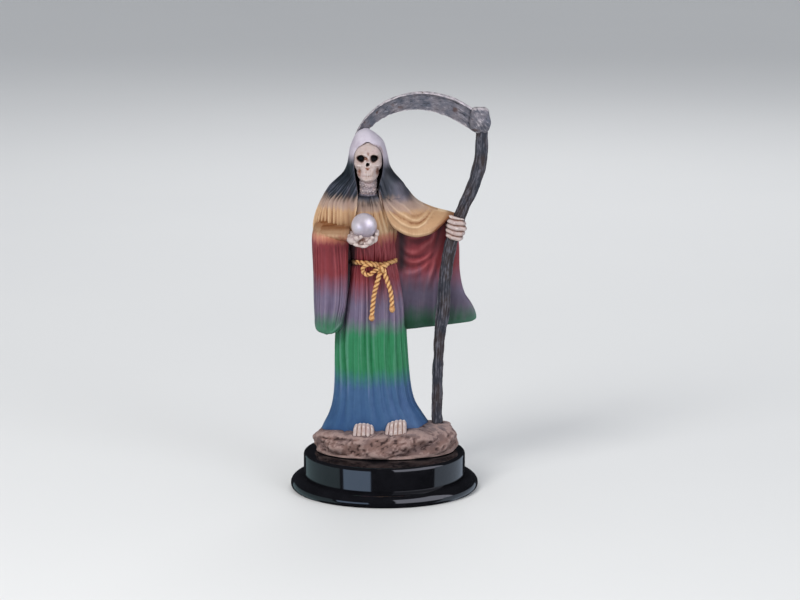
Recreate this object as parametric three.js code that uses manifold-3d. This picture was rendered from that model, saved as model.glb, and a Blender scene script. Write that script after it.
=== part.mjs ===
// A painted cast figure: a robed skeleton in a hood and cloak, standing on a rock, with a scythe in one
// hand and a pearl ball in the other, glued on a stepped round plinth.
// Millimetres, +Z up. The figure looks towards -Y. The origin is the centre of the plinth's underside.
import * as THREE from "three";
import { mergeVertices } from "three/addons/utils/BufferGeometryUtils.js";
import Module from "manifold-3d";

const wasm = await Module();
wasm.setup();

// Driving dimensions
const FIGURE_HEIGHT = 116; // from the underside of the rock to the top of the blade
const BALL_DIAMETER = 8.1;
const GLUE_GAP = 0.3; // between the plinth and the figure, and around the ball
const FOOT_HEIGHT = 4.4; // the plinth's rounded lower step
const FOOT_PROJECTION = 4.2; // how far the lower step stands out from the drum above it
const FOOT_UNDERCUT = 0.9; // how far it draws in again towards the ground
const FOOT_WIDEST_AT = 1.6; // height of its widest line
const DRUM_HEIGHT = 7.6;
const DRUM_MARGIN = 3.5; // the ledge left around the rock
const DRUM_EDGE_RADIUS = 1.1;
const PLINTH_SIDES = 36;

// The carving is drawn in hundredths of the figure's height, with its own zero under the rock.
const UNIT = FIGURE_HEIGHT / 100;
const BALL_RADIUS = BALL_DIAMETER / 2 / UNIT;
const BALL_SEAT_RADIUS = BALL_RADIUS + GLUE_GAP / UNIT;

const TURN = 2 * Math.PI;
const at = (x, y, z) => new THREE.Vector3(x, y, z);
const { lerp, smoothstep } = THREE.MathUtils;
const steps = (from, to, count) => Array.from({ length: count + 1 }, (_, i) => lerp(from, to, i / count));

// The points of a closed ring, from a function of the angle and the point's number.
const ring = (count, point) => steps(0, TURN, count).slice(0, count).map(point);

// A cosine or sine with its corners squared: 1 is a circle, 0 a box.
const squared = (value, corner) => Math.sign(value) * Math.abs(value) ** corner;

// A bell curve: 1 in the middle, fading out over a width.
const hump = (value, middle, width) => Math.exp(-(((value - middle) / width) ** 2));

// Solids

// A closed geometry as a solid that can be joined and cut, turned right side out.
function solid(geometry) {
  geometry.deleteAttribute("normal");
  geometry.deleteAttribute("uv");
  const { attributes, index } = mergeVertices(geometry, 1e-5);
  const make = (corners) =>
    new wasm.Manifold(
      new wasm.Mesh({
        numProp: 3,
        vertProperties: attributes.position.array,
        triVerts: Uint32Array.from(corners),
      }),
    );
  const made = make(index.array);
  return made.volume() > 0 ? made : make(index.array.toReversed());
}

// A skin over rings of equal count, closed at both ends by a fan.
function loft(rings) {
  const count = rings[0].length;
  const middles = [rings[0], rings.at(-1)].map((end) =>
    end.reduce((sum, v) => sum.add(v), at(0, 0, 0)).divideScalar(count),
  );
  const points = [...rings.flat(), ...middles];
  const [first, last] = [points.length - 2, points.length - 1];
  const top = (rings.length - 1) * count;
  const corners = [];
  for (let i = 0; i < count; i++) {
    const next = (i + 1) % count;
    for (let row = 0; row < top; row += count) {
      const [a, b] = [row + i, row + next];
      corners.push(a, b, b + count, a, b + count, a + count);
    }
    corners.push(first, next, i, last, top + i, top + next);
  }
  return solid(new THREE.BufferGeometry().setFromPoints(points).setIndex(corners));
}

const join = (...parts) => parts.flat().reduce((whole, part) => whole.add(part));

// A smooth reading of a table whose rows hold a place and the values there.
function reading(rows) {
  const slope = (i, k) => {
    const a = rows[Math.max(i - 1, 0)];
    const b = rows[Math.min(i + 1, rows.length - 1)];
    return (b[k] - a[k]) / (b[0] - a[0]);
  };
  return (place) => {
    const p = Math.min(Math.max(place, rows[0][0]), rows.at(-1)[0]);
    const i = Math.min(rows.findLastIndex((row) => row[0] <= p), rows.length - 2);
    const span = rows[i + 1][0] - rows[i][0];
    const t = (p - rows[i][0]) / span;
    return rows[i].slice(1).map((from, column) => {
      const k = column + 1;
      const straight = from * (1 + 2 * t) * (1 - t) ** 2 + rows[i + 1][k] * t * t * (3 - 2 * t);
      return straight + span * t * (1 - t) * (slope(i, k) * (1 - t) - slope(i + 1, k) * t);
    });
  };
}

// Two directions square to a line, the same for all lines that run alike.
function across(along) {
  const u = at(0.31, 0.87, 0.38).cross(along).normalize();
  return [u, along.clone().cross(u)];
}

// A ring round a point, square to a line.
function collar(middle, along, sides, radius) {
  const [u, v] = across(along);
  return ring(sides, (a, i) => {
    const r = typeof radius === "function" ? radius(a, i) : radius;
    return middle.clone().addScaledVector(u, r * Math.cos(a)).addScaledVector(v, r * Math.sin(a));
  });
}

// A finger or toe: a rod through its joints, thicker at each joint and rounded off at both ends.
function digit(joints, radius, sides = 6) {
  const path = new THREE.CatmullRomCurve3(joints);
  const last = 2 * (joints.length - 1);
  const rounded = (t, out) => {
    const along = path.getTangent(t);
    const middle = path.getPoint(t).addScaledVector(along, out * radius);
    return collar(middle, along, sides, 0.5 * radius);
  };
  const rod = steps(0, 1, last).map((t, k) =>
    collar(path.getPoint(t), path.getTangent(t), sides, radius * (k % 2 ? 0.85 : 1.08)),
  );
  return loft([rounded(0, -0.6), ...rod, rounded(1, 0.6)]);
}

const ROPE_LAY = 5.2; // length of a turn of the strands, in radii
const ROPE_GROOVE = 0.2; // depth of the groove between them, in radii
const ROPE_SIDES = 6;

// A two-strand rope along a smooth line through points.
function rope(points, radius, spacing) {
  const path = new THREE.CatmullRomCurve3(points);
  const length = path.getLength();
  const count = Math.round(length / spacing);
  return loft(
    steps(0, 1, count).map((t, k) => {
      const twist = (TURN * t * length) / (ROPE_LAY * radius);
      const end = k === 0 || k === count ? 0.6 : 1;
      return collar(path.getPointAt(t), path.getTangentAt(t), ROPE_SIDES, (a) =>
        end * radius * (1 + ROPE_GROOVE * Math.cos(2 * a - twist)),
      );
    }),
  );
}

function ellipsoid(centre, radii, around = 10, up = 8) {
  const ball = new THREE.SphereGeometry(1, around, up).rotateX(TURN / 4);
  return solid(ball.scale(...radii).translate(...centre));
}

// The rock underfoot

const ROCK_HALF_WIDTH = 19.4;
const ROCK_HALF_DEPTH = 13;
const ROCK_TOP = 7.2;
const ROCK_LUMPS = 0.5;
const ROCK_SIDES = 30;
const ROCK_KNOB = 1.7; // the rise behind the staff
const ROCK_SWELL = { x: 8, y: -9.5, height: 1, wide: 3.5, deep: 3 }; // the rise under one foot

const rockLump = (a, z) =>
  0.6 * Math.sin(3 * a + 0.7 * z) + 0.8 * Math.sin(7 * a - 1.1 * z + 2) + 0.5 * Math.sin(11 * a + z);

function rock() {
  // share of the height, share of the width
  const profile = [[0, 0.99], [0.2, 1.02], [0.5, 1.01], [0.72, 0.975], [0.86, 0.88], [0.95, 0.62], [1, 0.3]];
  return loft(
    profile.map(([up, wide]) =>
      ring(ROCK_SIDES, (a) => {
        const z = up * ROCK_TOP;
        const out = up > 0 && up < 0.95 ? ROCK_LUMPS * rockLump(a, z) : 0;
        const knob = ROCK_KNOB * up * wide * hump(Math.cos(a), 1, 0.12);
        const x = (ROCK_HALF_WIDTH * wide + out) * Math.cos(a) + 0.3;
        const y = (ROCK_HALF_DEPTH * wide + out) * Math.sin(a);
        const near = hump(x, ROCK_SWELL.x, ROCK_SWELL.wide) * hump(y, ROCK_SWELL.y, ROCK_SWELL.deep);
        return at(x, y, z + knob + ROCK_SWELL.height * up * near);
      }),
    ),
  );
}

// The robe, from hem to collar

// height, middle x, middle y, half width, half depth, fold depth
const ROBE = reading([
  [5, -2.2, 1, 15.6, 8.8, 0.15],
  [7.5, -2.2, 1, 14.5, 8.1, 0.2],
  [10, -2.4, 1, 13, 7.5, 0.35],
  [14, -3, 1, 11.2, 6.9, 0.42],
  [20, -3.35, 1, 10.2, 6.6, 0.48],
  [30, -3.7, 1, 9.7, 6.4, 0.48],
  [42, -3.5, 0.9, 9, 6.1, 0.42],
  [53.5, -3.8, 0.7, 6.9, 5.4, 0.3],
  [56, -3.8, 0.7, 7, 5.6, 0.35],
  [63, -3.9, 0.6, 7.4, 5.9, 0.35],
  [69, -4.1, 0.5, 6.4, 6.4, 0.3],
  [71.3, -4.3, 0.4, 5, 7.1, 0.15],
  [72.1, -4.35, 0.3, 4.2, 7.1, 0.1],
  [73, -4.4, 0.2, 3.2, 5.2, 0],
]);
const ROBE_FOLDS = 22;
const FLAT_BEHIND = 0.15; // the share of its depth the robe loses behind, where the cloak hangs over it

// The angle of a fold line round the robe, a little uneven. Whole numbers are ridges, halves are hollows.
function foldAngle(line) {
  const even = (TURN * line) / ROBE_FOLDS;
  return even + 0.06 * Math.sin(3 * even + 1) + 0.04 * Math.sin(5 * even);
}

// A point of the robe's surface at a height and fold line, standing out by an extra distance.
function onRobe(z, line, extra = 0) {
  const [x, y, wide, deep, fold] = ROBE(z);
  const a = foldAngle(line);
  const out = extra + fold * Math.cos(TURN * line);
  const flat = Math.sin(a) > 0 ? 1 - FLAT_BEHIND * smoothstep(z, 12, 24) : 1;
  return at(x + (wide + out) * Math.cos(a), y + flat * (deep + out) * Math.sin(a), z);
}

function robe() {
  const heights = [5, 8, 13, 21, 32, 44, 53.5, 63, 70.5, 73];
  const lines = steps(0, ROBE_FOLDS, 2 * ROBE_FOLDS).slice(0, -1);
  return loft(heights.map((z) => lines.map((line) => onRobe(z, line))));
}

// The cloak's hanging back, with the open sleeve of the raised arm

// height, left x, right x, front y, back y
const CAPE = reading([
  [33.2, -17.4, 24.9, 0.4, 8],
  [34, -17.8, 25.5, 0.1, 8.1],
  [36, -18.4, 25.2, -0.4, 8.2],
  [39, -18.9, 24.1, -0.6, 8.1],
  [43, -19, 22.2, -0.6, 7.9],
  [50, -19.2, 20.9, -0.6, 7.7],
  [58, -19.3, 20.6, -0.6, 7.6],
  [62, -19, 19.6, -0.6, 7.6],
  [66, -17.8, 17.6, -0.5, 7.5],
  [70, -15.6, 8, -0.5, 7],
  [74, -12.6, 4, -0.5, 5.4],
]);
const CAPE_SIDES = 36;
const BACK_FOLDS = 9; // counted all round, though they show only behind
const BACK_FOLD_DEPTH = 0.75;
const HEM_RISE = 0.11; // how much higher the hem hangs for each unit to the right

// Hollows that hang from the raised arm as swags, with upright folds under them.
function sleeveFold(x, z) {
  const inSleeve = smoothstep(x, 4, 7);
  const swagged = smoothstep(z, 42, 48);
  const swag = Math.cos((TURN * (z - 0.05 * (x - 10) ** 2)) / 4.2);
  const upright = Math.cos((TURN * (x + 0.22 * (50 - z))) / 5);
  return inSleeve * (0.8 * swagged * swag + 0.5 * (1 - swagged) * upright);
}

function cape() {
  const heights = [33.2, 34, 37.5, 44, 47, 49.4, 51.8, 54.2, 57, 62, 67, 71, 74];
  return loft(
    heights.map((z) => {
      const [left, right, front, back] = CAPE(z);
      const seam = lerp(front, back, 0.35);
      const hang = 1 - smoothstep(z, heights[0], 50);
      const backFold = BACK_FOLD_DEPTH * (1 - smoothstep(z, 56, 70));
      return ring(CAPE_SIDES, (a) => {
        const x = (left + right) / 2 + ((right - left) / 2) * Math.cos(a);
        const behind = Math.sin(a) > 0;
        const depth = Math.abs(Math.sin(a)) ** (behind ? 0.8 : 0.45);
        const pleat = behind ? backFold * Math.cos(BACK_FOLDS * a) : -sleeveFold(x, z);
        const y = seam + (behind ? back - seam : front - seam) * depth + pleat * depth;
        return at(x, y, z + HEM_RISE * hang * Math.max(x, 0));
      });
    }),
  );
}

// The hood and the shoulders of the cloak

// height, left x, right x, front y, back y, fold depth
const HOOD = reading([
  [61.5, -19.4, 2.5, -5.8, 5, 0.25],
  [64, -19.4, 4, -5.8, 5.8, 0.3],
  [67.2, -18.6, 5.6, -5.8, 6.6, 0.3],
  [71.1, -16.8, 6.9, -5.6, 7.1, 0.28],
  [74.2, -14.8, 5.7, -5.4, 7.1, 0.25],
  [75.8, -13.1, 4.4, -5.3, 7, 0.22],
  [77.6, -11.3, 2.8, -5.3, 6.9, 0.15],
  [79.7, -10.3, 1.6, -5.4, 6.8, 0.06],
  [82, -9.8, 1.1, -5.6, 6.7, 0],
  [84.5, -9.4, 0.5, -5.8, 6.4, 0],
  [86.5, -8.7, -0.2, -5.6, 5.8, 0],
  [88, -8, -1.6, -4.8, 4.8, 0],
  [89.2, -7, -3.2, -3.2, 3.4, 0],
  [89.9, -5.6, -4.4, -1, 1.4, 0],
]);
const HOOD_SIDES = 30;

function hood() {
  const heights = [61.5, 66, 70, 73, 75.5, 78, 81, 84, 86.4, 88, 89.2, 89.9];
  return loft(
    heights.map((z) => {
      const [left, right, front, back, fold] = HOOD(z);
      return ring(HOOD_SIDES, (a, i) => {
        const out = Math.sin(a) > 0 ? 0 : i % 2 ? fold : -fold;
        return at(
          (left + right) / 2 + ((right - left) / 2 + out) * squared(Math.cos(a), 0.86),
          (front + back) / 2 + ((back - front) / 2 + out) * squared(Math.sin(a), 0.86),
          z,
        );
      });
    }),
  );
}

// The hollow in front of the face and between the cloak's two edges

// height, left x, right x, back y
const HOLLOW = reading([
  [60, -9.4, 3.6, -3],
  [64, -8.7, 1.4, -3],
  [68, -7.6, 0, -2.6],
  [72, -7.2, -1.3, -2],
  [75, -7.5, -1.3, -1.2],
  [78, -8.1, -0.5, -0.6],
  [81, -8.6, -0.05, -0.4],
  [83.5, -8.4, -0.1, -0.6],
  [85.3, -7.5, -1, -1.4],
  [86.3, -6, -2.9, -3],
  [87, -4.8, -4.2, -4.4],
]);
const HOLLOW_FRONT = -12;
const HOLLOW_SIDES = 12;

function hollow() {
  return loft(
    [60, 66, 72, 75, 78, 81, 83.5, 85.3, 86.3, 87].map((z) => {
      const [left, right, back] = HOLLOW(z);
      return ring(HOLLOW_SIDES, (a) =>
        at(
          (left + right) / 2 + ((right - left) / 2) * squared(Math.cos(a), 0.6),
          (back + HOLLOW_FRONT) / 2 + ((back - HOLLOW_FRONT) / 2) * squared(Math.sin(a), 0.6),
          z,
        ),
      );
    }),
  );
}

// The swag of the cloak over the raised arm: a belly between the shoulder line and a curved lower edge

// place x, height of the shoulder line, height of the lower edge, how far the belly stands out, back y
const SWAG = reading([
  [-1.1, 76.5, 73.2, 5.4, 2],
  [0.5, 76, 67.4, 6.2, 2],
  [2.2, 75.4, 64.1, 6.6, 3],
  [3.8, 74.7, 62.8, 6.9, 3.5],
  [5.7, 73.7, 61.8, 7.1, 4],
  [8, 70.8, 61.2, 7.2, 4.5],
  [9.8, 69.3, 61.2, 7.2, 4.5],
  [13.1, 67.8, 62.1, 6.6, 4.4],
  [15.3, 67.2, 63.3, 5.6, 4],
  [17.7, 66.8, 65, 4, 2.6],
  [19.6, 66.5, 65.9, 2.6, 0.4],
]);
const SWAG_FOLDS = 3;
const SWAG_FOLD_DEPTH = 0.42;
const SWAG_STEPS = 12; // four to a fold

function swag() {
  return loft(
    [-1.1, 0.5, 2.2, 3.8, 6, 8.4, 10.8, 13.1, 15.3, 17.7, 19.6].map((x) => {
      const [top, low, out, back] = SWAG(x);
      const face = steps(0, 1, SWAG_STEPS).map((t) => {
        const fold = SWAG_FOLD_DEPTH * Math.sin(Math.PI * t) * Math.cos(TURN * SWAG_FOLDS * t);
        const belly = out * Math.sin((Math.PI / 2) * Math.min(1, 1.15 * t)) ** 0.8;
        return at(x, -belly - fold, lerp(top, low, t));
      });
      const lip = at(x, -out * 0.8, low - 0.2);
      const under = at(x, back * 0.2, lerp(low, top, 0.35));
      const behind = [0.4, 0.7, 1].map((t) =>
        at(x, back * Math.sin(Math.PI * (0.35 + 0.3 * t)), lerp(low, top, t)),
      );
      return [...face, lip, under, ...behind];
    }),
  );
}

// The hanging sleeve of the bent arm, its forearm and cuff

// height, left x, right x, front y, back y, roundness
const SLEEVE = reading([
  [33.5, -16.4, -13.8, -5.2, 4, 0.6],
  [34.2, -18.4, -12.4, -6, 4.5, 0.58],
  [35.6, -19.1, -11.4, -6.6, 4.8, 0.57],
  [38, -19.2, -10.9, -7, 5, 0.57],
  [42.6, -19.4, -9.8, -7.2, 5.2, 0.57],
  [50, -19.5, -9.3, -7.4, 5.2, 0.6],
  [57.4, -19.8, -9.3, -8, 4.8, 0.7],
  [60.6, -19.8, -9.3, -8.7, 4.2, 0.78],
  [62.4, -19.5, -9.4, -8.4, 3.6, 0.85],
  [63.8, -19, -9.8, -6, 2.8, 0.95],
  [66, -17.6, -11, -3, 1.5, 1],
]);
const SLEEVE_SIDES = 24;
const SLEEVE_PLEAT = 0.28;

function sleeve() {
  return loft(
    [33.5, 34.2, 35.8, 40, 49, 57, 60.6, 62.6, 66].map((z) => {
      const [left, right, front, back, round] = SLEEVE(z);
      const pleat = SLEEVE_PLEAT * smoothstep(z, 33.5, 40) * (1 - smoothstep(z, 56, 60));
      return ring(SLEEVE_SIDES, (a, i) => {
        const out = i % 2 ? pleat : -pleat;
        return at(
          (left + right) / 2 + ((right - left) / 2) * squared(Math.cos(a), round),
          (front + back) / 2 + ((back - front) / 2 + out) * squared(Math.sin(a), round),
          z,
        );
      });
    }),
  );
}

// The forearm under its sleeve: place x, middle y, middle z, half depth, half height
const FOREARM = reading([
  [-19.3, -2.5, 60.6, 1.6, 1],
  [-17.5, -4.4, 61.6, 3.2, 1.9],
  [-14, -6.1, 62, 3, 2.1],
  [-10.6, -7.2, 62.2, 2.5, 2],
  [-9.4, -7.5, 62.2, 2.1, 1.7],
]);

function forearm() {
  return loft(
    [-19.3, -18.2, -16, -13, -10.4, -9.4].map((x) => {
      const [y, z, deep, high] = FOREARM(x);
      return ring(10, (a) => at(x, y + deep * Math.cos(a), z + high * Math.sin(a)));
    }),
  );
}

// The opening of the hanging sleeve, a lens between its front edge and its back layer
function sleeveMouth() {
  // height, depth of the opening at its middle
  const depth = reading([[36, 0.1], [40, 1.4], [48, 2.2], [56, 2.4], [60, 0.4]]);
  return loft(
    [36, 40, 44, 48, 52, 56, 60].map((z) => {
      const [, right] = SLEEVE(z);
      const [deep] = depth(z);
      return ring(8, (a) => at(right + 0.6 + (deep + 0.6) * Math.cos(a), -4.2 + 1.4 * Math.sin(a), z));
    }),
  );
}

// The skull and neck

// height, half width, front y
const SKULL = reading([
  [76, 1.3, -6.2],
  [76.4, 2, -6.75],
  [77.1, 2.6, -7],
  [78.1, 2.98, -6.95],
  [79, 3.08, -6.75],
  [79.8, 3.6, -6.6],
  [80.7, 3.86, -6.5],
  [81.8, 3.9, -6.35],
  [83.3, 3.86, -6.6],
  [84.5, 3.62, -6.5],
  [85.7, 2.9, -6],
  [86.7, 1.7, -4.9],
]);
const SKULL_X = -4.42;
const SKULL_BACK = 0.6;
const SKULL_SIDES = 16;

function skull() {
  const head = loft(
    [76, 76.4, 77.1, 78.1, 79, 79.8, 80.7, 81.8, 83.3, 84.5, 85.7, 86.7].map((z) => {
      const [wide, front] = SKULL(z);
      return ring(SKULL_SIDES, (a) =>
        at(
          SKULL_X + wide * squared(Math.cos(a), 0.85),
          (front + SKULL_BACK) / 2 + ((SKULL_BACK - front) / 2) * Math.sin(a),
          z,
        ),
      );
    }),
  );
  const pits = [-1, 1].flatMap((side) => [
    ellipsoid(at(SKULL_X + side * 1.8, -6.9, 82.4), at(1.2, 1.9, 1), 8, 6),
    ellipsoid(at(SKULL_X + side * 2.95, -6.6, 78.7), at(0.7, 1.4, 1), 7, 5),
    ellipsoid(at(SKULL_X + side * 0.34, -7, 80.6), at(0.3, 0.9, 0.65), 5, 5),
  ]);
  return pits.reduce((whole, pit) => whole.subtract(pit), head);
}

// height, radius
const NECK = [[70.5, 2.3], [72, 2.5], [72.8, 2.35], [73.6, 2.5], [74.4, 2.3], [75.2, 2.45], [77, 2.2]];
const NECK_X = -4.3;
const NECK_Y = -3.6;

const neck = () =>
  loft(NECK.map(([z, r]) => ring(10, (a) => at(NECK_X + r * Math.cos(a), NECK_Y + r * Math.sin(a), z))));

// The hand under the ball

const BALL_X = -5.4;
const BALL_Y = -11;
const BALL_SEAT_LOW = 61.1; // lowest point of the hand's seat
const CUP_FINGERS = 3;
const ballMiddle = () => at(BALL_X, BALL_Y, BALL_SEAT_LOW + BALL_SEAT_RADIUS);

function cuppedHand() {
  const fingers = steps(0, 1, CUP_FINGERS - 1).map((back) => {
    const y = lerp(-13, -9, back);
    return digit([at(-6.8, y, 59.6), at(-3.4, y - 0.2, 60), at(-1.9, y, 62.6 + 0.5 * back)], 0.8, 5);
  });
  const thumb = digit([at(-9.8, -10.5, 62), at(-8.4, -13.8, 61.2), at(-6.2, -14.8, 61.5)], 0.72, 5);
  const palm = ellipsoid(at(-6, -10.8, 60.6), at(3.9, 3.5, 2), 10, 6);
  const wrist = digit([at(-9.4, -8.2, 61.8), at(-7.4, -10, 60.9)], 1.45, 8);
  return join(palm, wrist, ...fingers, thumb);
}

const sphere = (radius) => at(radius, radius, radius);
const ballSeat = () => ellipsoid(ballMiddle(), sphere(BALL_SEAT_RADIUS), 14, 9);

// The scythe: its gnarled staff, socket and blade

// height, x, y, radius
const STAFF = reading([
  [4, 14.6, -0.2, 1.5],
  [12.3, 14.6, -0.3, 1.4],
  [24.7, 14.9, -0.9, 1.45],
  [31, 15.2, -1.3, 1.5],
  [34.3, 15.45, -1.5, 1.62],
  [37.3, 15.95, -1.75, 1.85],
  [40.3, 16.3, -2, 1.88],
  [44.3, 16.45, -2.2, 1.72],
  [48, 16.65, -2.3, 1.68],
  [55, 17.5, -2.5, 1.65],
  [61, 19, -2.6, 1.7],
  [67.2, 21.2, -2.2, 1.75],
  [71.1, 23.15, -1.6, 1.78],
  [75.4, 24.8, -1, 1.8],
  [79.3, 25.95, -0.4, 1.8],
  [84, 26.6, 0.2, 1.75],
  [90, 26.8, 0.8, 1.7],
]);

function staff() {
  return loft(
    [4, 14, 25, 34, 37.3, 40.3, 45, 52, 60, 66, 71, 75.4, 79.3, 84, 90].map((z) => {
      const [x, y, radius] = STAFF(z);
      return ring(8, (a) => {
        const r = radius * (1 + 0.07 * Math.sin(3 * a + z) + 0.05 * Math.sin(0.9 * z));
        return at(x + r * Math.cos(a), y + r * Math.sin(a), z);
      });
    }),
  );
}

// height, left x, right x, half depth
const SOCKET = [
  [88.8, 25, 28.2, 1.6],
  [89.7, 23.9, 28.8, 2.1],
  [91.4, 23.3, 29.2, 2.4],
  [93.6, 23.4, 28.8, 2.3],
  [94.9, 23.8, 28.6, 2],
  [95.6, 24.5, 27.8, 1.5],
];
const SOCKET_Y = 0.9;

const socket = () =>
  loft(
    SOCKET.map(([z, left, right, deep]) =>
      ring(12, (a) =>
        at(
          (left + right) / 2 + ((right - left) / 2) * squared(Math.cos(a), 0.5),
          SOCKET_Y + deep * squared(Math.sin(a), 0.5),
          z,
        ),
      ),
    ),
  );

// share of the blade's length from tip to socket, back edge x and z, cutting edge x and z
const BLADE = reading([
  [0, -8.6, 85.6, -6.8, 85.2],
  [0.12, -7.5, 89, -4.5, 88.9],
  [0.26, -4.5, 93.5, -1.2, 91.9],
  [0.42, 1.2, 97.7, 3.4, 94.1],
  [0.62, 9.6, 99.9, 9.8, 94.9],
  [0.82, 18.2, 98.6, 17.2, 93.1],
  [1, 24.6, 95.2, 25, 88.7],
]);
const BLADE_BACK = 1.05; // half thickness at the back edge
const BLADE_EDGE = 0.3; // half thickness at the cutting edge
const BLADE_TIP_Y = 2.4; // the tip lies behind the hood

function blade() {
  // share of the way from the back to the edge, share of the half thickness there
  const half = [[0, 0.5], [0.12, 1], [0.7, 0.75], [1, 0.3]];
  const section = [...half.map(([to, side]) => [to, -side]), ...half.toReversed()];
  return loft(
    steps(0, 1, 11).map((share) => {
      const [backX, backZ, edgeX, edgeZ] = BLADE(share);
      const y = lerp(BLADE_TIP_Y, SOCKET_Y, share);
      return section.map(([to, side]) =>
        at(lerp(backX, edgeX, to), y + side * lerp(BLADE_BACK, BLADE_EDGE, to), lerp(backZ, edgeZ, to)),
      );
    }),
  );
}

// The hand on the staff, its fingers wrapped round the front

const GRIP_TOP = 65.9;
const GRIP_BOTTOM = 59.7;
const GRIP_FINGERS = 5;
const GRIP_SLOPE = 0.22; // fall of the fingers for each unit to the right

// The hand's reach to each side of the staff: height, left x, right x
const GRIP = reading([
  [59.7, 17.5, 20.8],
  [61.2, 17.1, 21.7],
  [62.9, 17.1, 22.3],
  [64.5, 17.4, 22.3],
  [65.9, 18, 21.7],
]);

function grippingHand() {
  const rows = 2 * GRIP_FINGERS;
  return loft(
    steps(0, 1, rows).map((share, k) => {
      const z = lerp(GRIP_BOTTOM, GRIP_TOP, share);
      const [staffX, staffY, radius] = STAFF(z);
      const [left, right] = GRIP(z);
      const finger = k === 0 || k === rows ? 0.1 : k % 2 ? 0.85 : 0.3;
      const front = staffY - radius - finger;
      const back = staffY + 3.4;
      return ring(14, (a) => {
        const side = Math.cos(a) < 0 ? staffX - left : right - staffX;
        const x = staffX + (side + finger - 0.5) * squared(Math.cos(a), 0.7);
        const out = Math.sin(a) > 0 ? (back - staffY) * (x < staffX ? 1 : 0.5) : staffY - front;
        return at(x, staffY + out * squared(Math.sin(a), 0.7), z - GRIP_SLOPE * (x - staffX));
      });
    }),
  );
}

// The feet: fans of toe bones under the hem

// middle of the toe tips, middle of the instep, and how much the row rises to the right
const FEET = [
  { tip: at(-5.7, -10.3, 6.3), instep: at(-5.5, -5.4, 10.1), lean: -0.06 },
  { tip: at(3.1, -10.3, 7.2), instep: at(3.5, -5.4, 10.9), lean: 0.2 },
];
const TOES = 5;
const TOE_RIDGE = 0.32;
const SOLE_DEPTH = 3;

function foot({ tip, instep, lean }) {
  // share of the length from toe to instep, share of the ridge, drop of the rounded toe tips
  const sections = [[-0.06, 0.5, 0.8], [0, 1, 0.1], [0.3, 1.1, -0.6], [0.66, 0.45, -0.1], [1, 0, 3]];
  return loft(
    sections.map(([along, ridge, drop]) => {
      const middle = tip.clone().lerp(instep, along);
      const wide = lerp(3.2, 2.5, along);
      const top = steps(-1, 1, 4 * TOES).map((side) => {
        const bump = TOE_RIDGE * ridge * Math.cos(TOES * Math.PI * side);
        const fall = 0.5 * side ** 2 + 0.6 * side ** 6;
        return at(
          middle.x + wide * side,
          middle.y + 0.6 * side ** 2 * (1 - along) - 0.5 * bump,
          middle.z + lean * wide * side - fall - drop + bump,
        );
      });
      const sole = [top.at(-1), top[0]].map((side) => side.clone().setZ(middle.z - SOLE_DEPTH));
      return [...top, ...sole];
    }),
  );
}

// The rope belt with its bow loop and two tails

const ROPE_RADIUS = 0.66;
const ROPE_SPACING = 2; // between the rings it is drawn with
const BELT_HEIGHT = 53.5;
const KNOT = at(-0.7, -5.6, BELT_HEIGHT - 1.2);
const fromKnot = (rows) => rows.map(([x, y, z]) => at(x, y, z).add(KNOT));

// The bow loop and the two tails, measured from the knot
const BOW = fromKnot([
  [-0.3, -0.4, 0.3],
  [-1.6, -0.9, 1.1],
  [-3.4, -1, 1.2],
  [-4.8, -1, 0.4],
  [-5.1, -1, -0.8],
  [-4.3, -1, -1.8],
  [-3, -0.9, -1.9],
  [-1.7, -0.9, -1],
  [-0.4, -0.6, 0],
]);
const TAILS = [
  [[-0.1, -0.4, -0.2], [-0.9, -1, -2.8], [-2, -1, -7.2], [-2.5, -1, -11.2], [-2.7, -1, -13.8]],
  [[0.4, -0.4, -0.2], [1.3, -0.9, -2.8], [2.4, -0.9, -6.2], [2.8, -0.9, -9.2], [2.9, -0.9, -11.4]],
].map(fromKnot);

function belt() {
  const dip = (x) => 0.6 * hump(x, KNOT.x, 2.6);
  const waist = steps(0.46, 1.02, 12).map((share) => {
    const onWaist = onRobe(BELT_HEIGHT, share * ROBE_FOLDS, 0.35);
    return onWaist.setZ(BELT_HEIGHT - dip(onWaist.x));
  });
  const knobs = TAILS.map((tail) => ellipsoid(tail.at(-1), at(0.85, 0.8, 1), 6, 5));
  return join(
    rope(waist, ROPE_RADIUS, ROPE_SPACING),
    rope(BOW, ROPE_RADIUS * 0.85, ROPE_SPACING),
    ...TAILS.map((tail) => rope(tail, ROPE_RADIUS, ROPE_SPACING)),
    ellipsoid(KNOT, at(1.3, 1.1, 1.1), 8, 5),
    ...knobs,
  );
}

// The whole casting, on the plinth

function figure() {
  const cloth = join(hood().subtract(hollow()), cape(), sleeve(), forearm()).subtract(sleeveMouth());
  const casting = join(
    rock(),
    robe(),
    cloth,
    swag(),
    skull(),
    neck(),
    belt(),
    ...FEET.map(foot),
    staff(),
    socket(),
    blade(),
    grippingHand(),
    cuppedHand(),
  );
  return casting.subtract(ballSeat());
}

function plinth() {
  const drum = ROCK_HALF_WIDTH * UNIT + DRUM_MARGIN;
  const top = FOOT_HEIGHT + DRUM_HEIGHT;
  const quarter = (count, point) => steps(0, TURN / 4, count).map(point);
  const ovolo = quarter(4, (a) => [
    drum + FOOT_PROJECTION * Math.cos(a),
    FOOT_WIDEST_AT + (FOOT_HEIGHT - FOOT_WIDEST_AT) * Math.sin(a),
  ]);
  const edge = quarter(2, (a) => [
    drum - DRUM_EDGE_RADIUS * (1 - Math.cos(a)),
    top - DRUM_EDGE_RADIUS * (1 - Math.sin(a)),
  ]);
  const profile = [[0, 0], [drum + FOOT_PROJECTION - FOOT_UNDERCUT, 0], ...ovolo, ...edge, [0, top]];
  const outline = profile.map(([radius, height]) => new THREE.Vector2(radius, height));
  return solid(new THREE.LatheGeometry(outline, PLINTH_SIDES).rotateX(TURN / 4));
}

// The scene

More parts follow.
